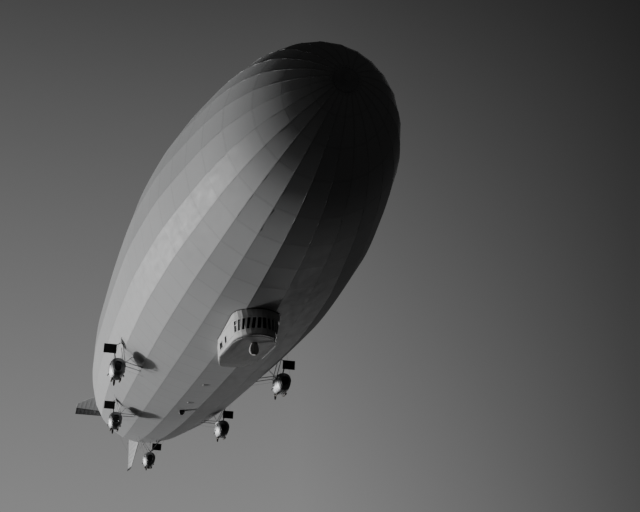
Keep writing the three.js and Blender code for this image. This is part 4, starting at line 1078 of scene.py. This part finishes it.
def air_bag(name, node, profile, foot):
    """Gores cut small, sewn along their edges, and blown up by a short run of cloth under pressure"""
    rows = through(profile, steps=3)
    solid = lathe([(0.0, rows[0][0])] + [(radius, height) for height, radius in rows] + [(0.0, rows[-1][0])],
                  sides=GORES * GORE_STEPS)
    narrowed = Matrix.Translation(foot) @ Matrix.Diagonal((PRESSED_IN, PRESSED_IN, 1, 1))
    mesh = mesh_of(name, *merged([solid], narrowed))
    made = linked(name, mesh)
    sewn = made.vertex_groups.new(name="sewn")
    for vertex in mesh.vertices:
        aside = vertex.co - foot
        turn = math.degrees(math.atan2(aside.y, aside.x)) % (360 / GORES)
        ends = aside.z < SEWN_FOOT or aside.z > profile[-1][0] - SEWN_HEAD
        if ends or min(turn, 360 / GORES - turn) < SEWN_SEAM:
            sewn.add([vertex.index], 1.0, "REPLACE")
    cloth = made.modifiers.new("air", "CLOTH")
    for key, value in AIR.items():
        setattr(cloth.settings, key, value)
    cloth.settings.effector_weights.gravity = 0
    for step in range(1, CLOTH_STEPS + 1):
        bpy.context.scene.frame_set(step)
    graph = bpy.context.evaluated_depsgraph_get()
    blown = [vertex.co.copy() for vertex in made.evaluated_get(graph).data.vertices]
    made.modifiers.clear()
    bpy.context.scene.frame_set(1)
    for vertex, end in zip(mesh.vertices, blown):
        move = end - vertex.co
        if move.length > SWELL_LIMIT:
            move *= SWELL_LIMIT / move.length
        vertex.co += move
    made.vertex_groups.clear()
    smooth = made.modifiers.new("smooth", "SUBSURF")
    smooth.levels = smooth.render_levels = 1
    made_plain(made)
    settle(made, "hull", bag_canvas, smooth=60)
    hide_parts(node)
    ropes = []
    for gore in range(GORES):
        [(ahead, aside)] = arc([360 / GORES * gore])
        path = [Vector((ahead * reach, aside * reach, height)) for height, reach in
                ((height, radius * PRESSED_IN + ROPE_SUNK) for height, radius in rows)]
        ropes.append(tube(path, radius=0.0013, sides=6))
    for height, radius in (profile[1], profile[-1]):
        hem = [Vector((x, y, max(height - 0.003, 0.002))) for x, y in ring_of(36, radius + 0.0012)]
        ropes.append(tube(hem, radius=0.0017, sides=6, closed=True))
    piece(name + "_roping", ropes, "hull", roping, smooth=50, at=Matrix.Translation(foot))


air_bag("car_air_bag", "car_bumper", CAR_BAG, Vector((6.0, 0, -1.6216)))
air_bag("centre_air_bag", "centre_bumper", CENTRE_BAG, Vector((-4.70, 0, -1.798)))


# Engine cars
# Five cars of aluminium sheet riveted to bent frames, open in front at the radiator. Each hangs
# clear of the hull on tubes and wires, with a ladder up to the keel and wooden runners below.
# Station of each car, distance to port and height of its middle, and of its condenser from there
ENGINE_CARS = (
    ("forward_port", 76.3, 11.7, -11.4, 0.115, 0.305),
    ("forward_starboard", 76.3, -11.7, -11.4, -0.115, 0.305),
    ("mid_port", 112, 9.1, -13.5, 0.11, 0.275),
    ("mid_starboard", 112, -9.1, -13.5, -0.11, 0.275),
    ("centre", 142.6, 0, -16.2, 0.14, 0.27),
)
SHELL_HALF_WIDTH, SHELL_HALF_HEIGHT, SHELL_THICK = 0.112, 0.14, 0.004
SHELL_PROFILE = ((0.3, 0.5), (0.285, 0.64), (0.24, 0.83), (0.17, 0.95), (0.08, 1.0), (-0.02, 0.98),
                 (-0.12, 0.88), (-0.22, 0.67), (-0.29, 0.42), (-0.32, 0.28))
SHELL_SECTION = ((0, 1), (0.38, 0.96), (0.72, 0.78), (0.95, 0.42), (1, 0.05), (0.92, -0.32), (0.76, -0.66),
                 (0.52, -0.92), (0.28, -1), (0, -1))
# Places ahead of the bands round the shell, and points of its section with a band along it
SHELL_SEAMS, SHELL_STRINGERS = (0.245, 0.17, 0.08, -0.02, -0.12, -0.22), (0, 9, 18, 45, 36, 27)
SHELL_RIMS = ((0.3, 0.0045), (-0.32, 0.003))
PORTHOLE_AHEAD, PORTHOLE_UP, PORTHOLE_HALF_LONG, PORTHOLE_HALF_TALL = 0.19, 0.04, 0.017, 0.027
# Distance ahead and height of each bend of a runner
RUNNER = ((0.128, -0.136), (0.108, -0.151), (0.088, -0.1585), (0.06, -0.16), (-0.06, -0.16),
          (-0.088, -0.1585), (-0.108, -0.151), (-0.128, -0.136))
RUNNER_ASIDE = 0.057
# Distance ahead, height and stand-off from the shell of each bend of an exhaust
EXHAUST = ((-0.05, -0.06, -0.01), (-0.05, -0.062, 0.012), (-0.07, -0.068, 0.022), (-0.12, -0.07, 0.03))
CONDENSER_BEHIND, CONDENSER_HALF_WIDE, CONDENSER_HALF_TALL = 0.06, 0.085, 0.06
LADDER_AHEAD, LADDER_FOOT, LADDER_HALF_WIDE = 0.03, 0.115, 0.018
# Distance ahead of each pair of steadying wires on the shell and on the hull
WIRED_AT = ((0.2, 0.34), (-0.16, -0.36))
shell_rows = through(SHELL_PROFILE, steps=3)
shell_loop = through(SHELL_SECTION + tuple((-y, z) for y, z in SHELL_SECTION[-2:0:-1]), steps=3, closed=True)

car_sheet = worn_metal("car_sheet", (0.3, 0.305, 0.31), (0.46, 0.465, 0.47), roughness=0.5, metallic=0.55,
                       scale=9.0, streaks=(0.6, 1, 1), bump=0.12)
strut_paint = worn_metal("strut_paint", (0.5, 0.505, 0.51), (0.7, 0.705, 0.71), roughness=0.45, metallic=0.1,
                         scale=20.0)
cast_grey = worn_metal("cast_grey", (0.1, 0.1, 0.105), (0.22, 0.22, 0.225), roughness=0.55, metallic=0.3,
                       scale=24.0)
soot = worn_metal("soot", (0.012, 0.012, 0.012), (0.04, 0.04, 0.04), roughness=0.6, metallic=0.2, scale=18.0,
                  streaks=(1, 1, 0.4), bump=0.3)
# Near-black opaque glass for the portholes: painted shade standing for the unlit inside of the car
porthole_glass_painted_shade = worn_metal("porthole_glass_painted_shade", (0.008, 0.008, 0.009), (0.03, 0.031, 0.033), roughness=0.12,
                         metallic=0.0, scale=30.0)
runner_ash, ash_tree, ash_shader = finish_of("runner_ash", (0.4, 0.32, 0.22), 0.5)
ash_grain = noise(ash_tree, place_on(ash_tree, (2, 30, 30)), 5.0, 6.0)
painted(ash_tree, ash_shader, ash_grain, (0.18, 0.16, 0.135), (0.36, 0.33, 0.29))
raise_surface(ash_tree, ash_shader, ash_grain, 0.2, 0.0006)


def shell_share(ahead):
    """Share of the full size that the shell has at a distance ahead of its middle"""
    for (front, share), (back, next_share) in zip(shell_rows, shell_rows[1:]):
        if front >= ahead >= back:
            return share + (next_share - share) * (front - ahead) / (front - back)
    return shell_rows[0][1] if ahead > 0 else shell_rows[-1][1]


def shell_side(ahead, up, side, out=0.0):
    """Point on the shell's side at a place ahead of and above its middle"""
    share = shell_share(ahead)
    height = up / SHELL_HALF_HEIGHT / share
    half = shell_loop[:len(shell_loop) // 2 + 1]
    for (y, z), (next_y, next_z) in zip(half, half[1:]):
        if z >= height > next_z:
            wide = y + (next_y - y) * (z - height) / (z - next_z)
            return Vector((ahead, side * (wide * share * SHELL_HALF_WIDTH + out), up))
    return Vector((ahead, 0, up))


def shell_ring(ahead):
    wide, tall = shell_share(ahead) * SHELL_HALF_WIDTH, shell_share(ahead) * SHELL_HALF_HEIGHT
    return [Vector((ahead, y * wide, z * tall)) for y, z in shell_loop]


def plank(path, width, thick):
    """A flat bar bent along a path in the plane of X and Z, its width across the ship"""
    rings = []
    for i, place in enumerate(path):
        run = run_at(path, i).normalized()
        up, aside = Vector((-run.z, 0, run.x)) * thick / 2, Vector((0, width / 2, 0))
        rings.append([Vector(place) + aside * across + up * lift
                      for across, lift in ((1, -1), (1, 1), (-1, 1), (-1, -1))])
    return loft(rings)


for car_name, station, y, z, panel_y, panel_z in ENGINE_CARS:
    hung_at = Vector((along(station), y / 10, z / 10))
    to_place = Matrix.Translation(hung_at)
    paint_nodes(cast_grey, "engine_" + car_name)
    paint_nodes(strut_paint, "struts_" + car_name)
    paint_nodes(soot, "condenser_" + car_name)

    points, faces = merged([loft([shell_ring(ahead) for ahead, _ in shell_rows])], to_place)
    shell = linked("engine_shell_" + car_name, mesh_of("engine_shell", points, faces[:-2]))
    thickened(shell, SHELL_THICK)
    settle(shell, "hull", car_sheet, smooth=32)
    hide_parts("engine_car_" + car_name)

    seams, rivet_lines = [], []
    for ahead in SHELL_SEAMS:
        ring = shell_ring(ahead)
        outs = [Vector((0, point.y / SHELL_HALF_WIDTH**2, point.z / SHELL_HALF_HEIGHT**2)).normalized()
                for point in ring]
        seams.append(ribbon(ring, outs, width=0.011, height=0.0012, closed=True))
        rivet_lines.append([hung_at + point + out * 0.0012
                            for point, out in zip(ring + ring[:1], outs + outs[:1])])
    for at in SHELL_STRINGERS:
        line = [shell_ring(ahead)[at] for ahead, _ in shell_rows[3:-2]]
        across, up = shell_loop[at]
        out = Vector((0, across / SHELL_HALF_WIDTH, up / SHELL_HALF_HEIGHT)).normalized()
        seams.append(ribbon(line, [out] * len(line), width=0.009, height=0.001))
        rivet_lines.append([hung_at + point + out * 0.001 for point in line])
    seams += [tube(shell_ring(ahead), radius, closed=True) for ahead, radius in SHELL_RIMS]
    piece("engine_seams_" + car_name, seams, "hull", car_sheet, smooth=35, at=to_place)
    rows_of("engine_rivets_" + car_name, head_tree, rivet_lines, "hull", car_sheet, smooth=50,
            spacing=0.016, size=0.0014)

    rims, panes = [], []
    for side in (1, -1):
        oval = [shell_side(PORTHOLE_AHEAD + ahead, PORTHOLE_UP + up, side, 0.0012)
                for ahead, up in ring_of(24, PORTHOLE_HALF_LONG, PORTHOLE_HALF_TALL)]
        rims.append(tube(oval, radius=0.0026, closed=True))
        middle, count = sum(oval, Vector()) / len(oval), len(oval)
        lens = oval + [middle + Vector((0, side * 0.0025, 0)), middle - Vector((0, side * 0.003, 0))]
        fan = [(i, (i + 1) % count, count) for i in range(count)]
        panes.append((lens, fan + [((i + 1) % count, i, count + 1) for i in range(count)]))
    piece("porthole_rims_" + car_name, rims, "hull", dark_steel, smooth=50, at=to_place)
    piece("porthole_panes_" + car_name, panes, "hull", porthole_glass_painted_shade, smooth=40, at=to_place,
          outwards=True)

    core_line = [hung_at + Vector((0.2955, 0, up)) for up in (-0.058, 0.026)]
    rows_of("radiator_shutters_" + car_name, slat_tree, [core_line], "hull", dark_steel,
            spacing=0.0105, size=(0.003, 0.078, 0.0052), turn=(0, 0.6, 0))
    louvre_lines = [[hung_at + shell_side(ahead, -0.02, side, 0.001) for ahead in (0.075, -0.075)]
                    for side in (1, -1)]
    rows_of("bonnet_louvres_" + car_name, slat_tree, louvre_lines, "hull", car_sheet,
            spacing=0.0125, size=(0.0052, 0.004, 0.042))

    runners = [plank([(x, across, up) for x, up in RUNNER], 0.024, 0.006)
               for across in (-RUNNER_ASIDE, RUNNER_ASIDE)]
    piece("runners_" + car_name, runners, "hull", runner_ash, smooth=25, at=to_place)
    legs = [bar((x, across, -0.158), (x * 0.9, across * 0.85, -0.125), radius=0.0042, sides=8)
            for x in (0.085, 0.03, -0.03, -0.085) for across in (-RUNNER_ASIDE, RUNNER_ASIDE)]
    piece("runner_legs_" + car_name, legs, "hull", dark_steel, smooth=40, at=to_place)
    bends = [[shell_side(ahead, up, side, out) for ahead, up, out in EXHAUST] for side in (1, -1)]
    exhausts = [tube(through(path, steps=4), radius=0.0075, sides=12) for path in bends]
    piece("exhausts_" + car_name, exhausts, "hull", soot, smooth=40, at=to_place)

    # Condenser: rows of flat tubes in a frame, on its pipe beside the struts
    panel = hung_at + Vector((-CONDENSER_BEHIND, panel_y, panel_z))
    tube_lines = [[panel + Vector((x, 0, up)) for up in (-0.052, 0.0525)] for x in (0.0085, -0.0085)]
    rows_of("condenser_tubes_" + car_name, slat_tree, tube_lines, "hull", soot, spacing=0.0094,
            size=(0.004, 0.164, 0.0045))
    corners = [panel + Vector((0, dy * CONDENSER_HALF_WIDE, dz * CONDENSER_HALF_TALL))
               for dy, dz in ((-1, -1), (1, -1), (1, 1), (-1, 1))]
    frame_bars = [block((panel.x - 0.011, min(a.y, b.y) - 0.004, min(a.z, b.z) - 0.004),
                        (panel.x + 0.011, max(a.y, b.y) + 0.004, max(a.z, b.z) + 0.004))
                  for a, b in zip(corners, corners[1:] + corners[:1])]
    piece("condenser_frame_" + car_name, frame_bars, "hull", soot)

    # Ladder: two rails and rungs from the shell's top to the hull
    bearing = math.atan2(hung_at.y, -hung_at.z) / FACET_ANGLE
    out = Vector((0, hung_at.y, hung_at.z)).normalized()
    foot_at = hung_at + Vector((LADDER_AHEAD, 0, 0)) - out * LADDER_FOOT
    head_at = hull_point(station_at(foot_at.x), bearing, -0.004)
    if (head_at - foot_at).dot(out) < 0:
        rails = [bar(foot_at + Vector((dx, 0, 0)), head_at + Vector((dx, 0, 0)), radius=0.0024, sides=8)
                 for dx in (-LADDER_HALF_WIDE, LADDER_HALF_WIDE)]
        piece("ladder_" + car_name, rails, "hull", strut_paint, smooth=40)
        rung_line = [foot_at.lerp(head_at, share) for share in (0.06, 0.96)]
        rows_of("ladder_rungs_" + car_name, slat_tree, [rung_line], "hull", strut_paint,
                spacing=0.03, size=(0.036, 0.003, 0.003))

    # Wires from the shell's sides to the hull steady the car fore and aft
    wires = []
    for ahead, reach in WIRED_AT:
        for side in (1, -1):
            start = hung_at + shell_side(ahead, 0.05, side, -0.002)
            end = hull_point(station_at(hung_at.x + reach), bearing + side * 0.8, -0.003)
            wires.append(bar(start, end, radius=0.0009, sides=6))
    piece("steadying_wires_" + car_name, wires, "hull", dark_steel, smooth=60)


# Propellers
# Two-bladed airscrews of laminated wood, varnished, with metal sheathing on the outer leading
# edges. A steel boss with a ring of bolts clamps each to the end of its engine's shaft.
PROPELLER_BEHIND, SHEATHED_FROM, SHEATH_THICK = 0.3413, 0.1, 0.0006
BOLT_CIRCLE, BOLT_FACE = 0.0165, -0.0115
# Distance from the hub, chord, thickness and pitch of each section of a blade
BLADE_SECTIONS = ((0.01, 0.022, 0.02, 50), (0.045, 0.026, 0.013, 42), (0.09, 0.034, 0.009, 30),
                  (0.135, 0.03, 0.006, 22), (0.165, 0.018, 0.004, 18), (0.172, 0.008, 0.003, 16))
BLADE_OUTLINE = ((0.5, 0), (0.2, 0.5), (-0.2, 0.42), (-0.5, 0), (-0.2, -0.3), (0.2, -0.4))
SHEATH_OUTLINE = ((0.1, 0.56), (0.3, 0.44), (0.52, 0.0), (0.3, -0.38), (0.1, -0.5))
BOSS = ((0.0, -0.017), (0.009, -0.017), (0.0115, -0.0155), (0.0115, -0.0118), (0.0205, -0.0112),
        (0.022, -0.0095), (0.022, 0.0095), (0.0205, 0.0112), (0.012, 0.0118), (0.012, 0.0148), (0.0, 0.0148))

blade_wood, blade_tree, blade_shader = finish_of("blade_wood", (0.25, 0.15, 0.09), 0.3, Coat_Weight=0.6)
plies = add(blade_tree, "ShaderNodeTexWave", {"Vector": place_on(blade_tree), "Scale": 60.0,
                                              "Distortion": 0.8}, bands_direction="X").outputs["Fac"]
blade_grain = noise(blade_tree, place_on(blade_tree, (40, 40, 3)), 4.0, 6.0)
blade_tone = maths(blade_tree, "MULTIPLY_ADD", plies, 0.5, maths(blade_tree, "MULTIPLY", blade_grain, 0.5))
painted(blade_tree, blade_shader, blade_tone, (0.07, 0.055, 0.045), (0.22, 0.18, 0.145))
raise_surface(blade_tree, blade_shader, blade_grain, 0.1, 0.0004)
sheathing = worn_metal("sheathing", (0.3, 0.29, 0.27), (0.55, 0.54, 0.52), roughness=0.35, metallic=0.9,
                       scale=40.0)


def blade_solid(rows, outline):
    """A blade or its sheathing, from the hub outwards: an outline at each section, turned to its pitch"""
    rings = []
    for radius, chord, thick, pitch in rows:
        turn = Matrix.Rotation(math.radians(pitch), 3, "Z")
        rings.append([turn @ Vector((out * thick, across * chord, radius)) for across, out in outline])
    return loft(rings)


blade_rows = through(BLADE_SECTIONS, steps=4)
blade = blade_solid(blade_rows, through(BLADE_OUTLINE, steps=4, closed=True))
sheath = blade_solid([(radius, chord, thick + SHEATH_THICK, pitch) for radius, chord, thick, pitch
                      in blade_rows if radius > SHEATHED_FROM], SHEATH_OUTLINE)
for car_name, station, y, z, _, _ in ENGINE_CARS:
    body = "propeller_" + car_name
    hub = Matrix.Translation((along(station) - PROPELLER_BEHIND, y / 10, z / 10))
    pair = [hub @ Matrix.Rotation(math.pi * i, 4, "X") for i in (0, 1)]
    blades = piece("blades_" + car_name, [merged([blade], at) for at in pair], body, blade_wood,
                   smooth=40, outwards=True)
    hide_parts(body)
    piece("sheathing_" + car_name, [merged([sheath], at) for at in pair], body, sheathing,
          smooth=40, outwards=True)
    boss_turn = hub @ FACING_AHEAD
    piece("boss_" + car_name, [lathe(BOSS, sides=32)], body, dark_steel, smooth=35,
          at=boss_turn)
    ring = [boss_turn @ Vector((x, y, BOLT_FACE)) for x, y in arc(range(0, 361, 15), BOLT_CIRCLE)]
    rows_of("boss_bolts_" + car_name, head_tree, [ring], body, dark_steel, smooth=50,
            spacing=0.0129, size=0.0018)


# Fin bracing and control horns
# Taut steel wires run from the hull to pads on both faces of each fin. Short horns on the rudders
# and elevators take the ends of the control wires, which run inside the fins.
# Ahead of the hinge and height of each pad, and the station and facets aside of the wire's other end
BRACED_AT = ((0.62, 0.80, 184.5, 2), (0.30, 1.08, 180.5, 3))
WIRE_RADIUS, WIRE_END_RADIUS = 0.0011, 0.0035
# Distance of each corner of a horn behind the hinge and out from the surface
HORN_PROFILE = ((-0.050, 0), (-0.046, 0.012), (-0.034, 0.034), (-0.026, 0.034), (-0.014, 0.006),
                (-0.012, -0.003))
HORN_HEIGHT, HORN_HALF_THICK = 0.76, 0.003
bracing, pads = [], []
for _, surface_node, turn, droop in TAIL:
    about_ship = Matrix.Rotation(math.radians(turn), 4, "X")
    for ahead, height, station, aside in BRACED_AT:
        for side in (1, -1):
            start = about_ship @ Vector((HINGE_X + ahead, side * half_thick(height) * 0.82, height))
            end = hull_point(station, (FACETS / 2 + turn / 15 - side * aside) % FACETS, -0.002)
            run = (end - start).normalized()
            bracing.append(bar(start, end, WIRE_RADIUS, sides=6))
            pads.append(bar(start - run * 0.012, start + run * 0.02, WIRE_END_RADIUS, sides=8))
            pads.append(bar(end, end - run * 0.022, WIRE_END_RADIUS, sides=8))
    root = half_thick(HORN_HEIGHT) * 0.93
    horns = [loft([[(x, side * (root + out), HORN_HEIGHT + half) for x, out in HORN_PROFILE]
                   for half in (-HORN_HALF_THICK, HORN_HALF_THICK)]) for side in (1, -1)]
    piece(surface_node.replace("_", "_horns_"), horns, surface_node, lug_steel, smooth=30,
          at=about_ship @ about_hinge(droop), outwards=True)
piece("fin_bracing_wires", bracing, "hull", dark_steel, smooth=60)
piece("fin_wire_ends", pads, "hull", lug_steel, smooth=40)
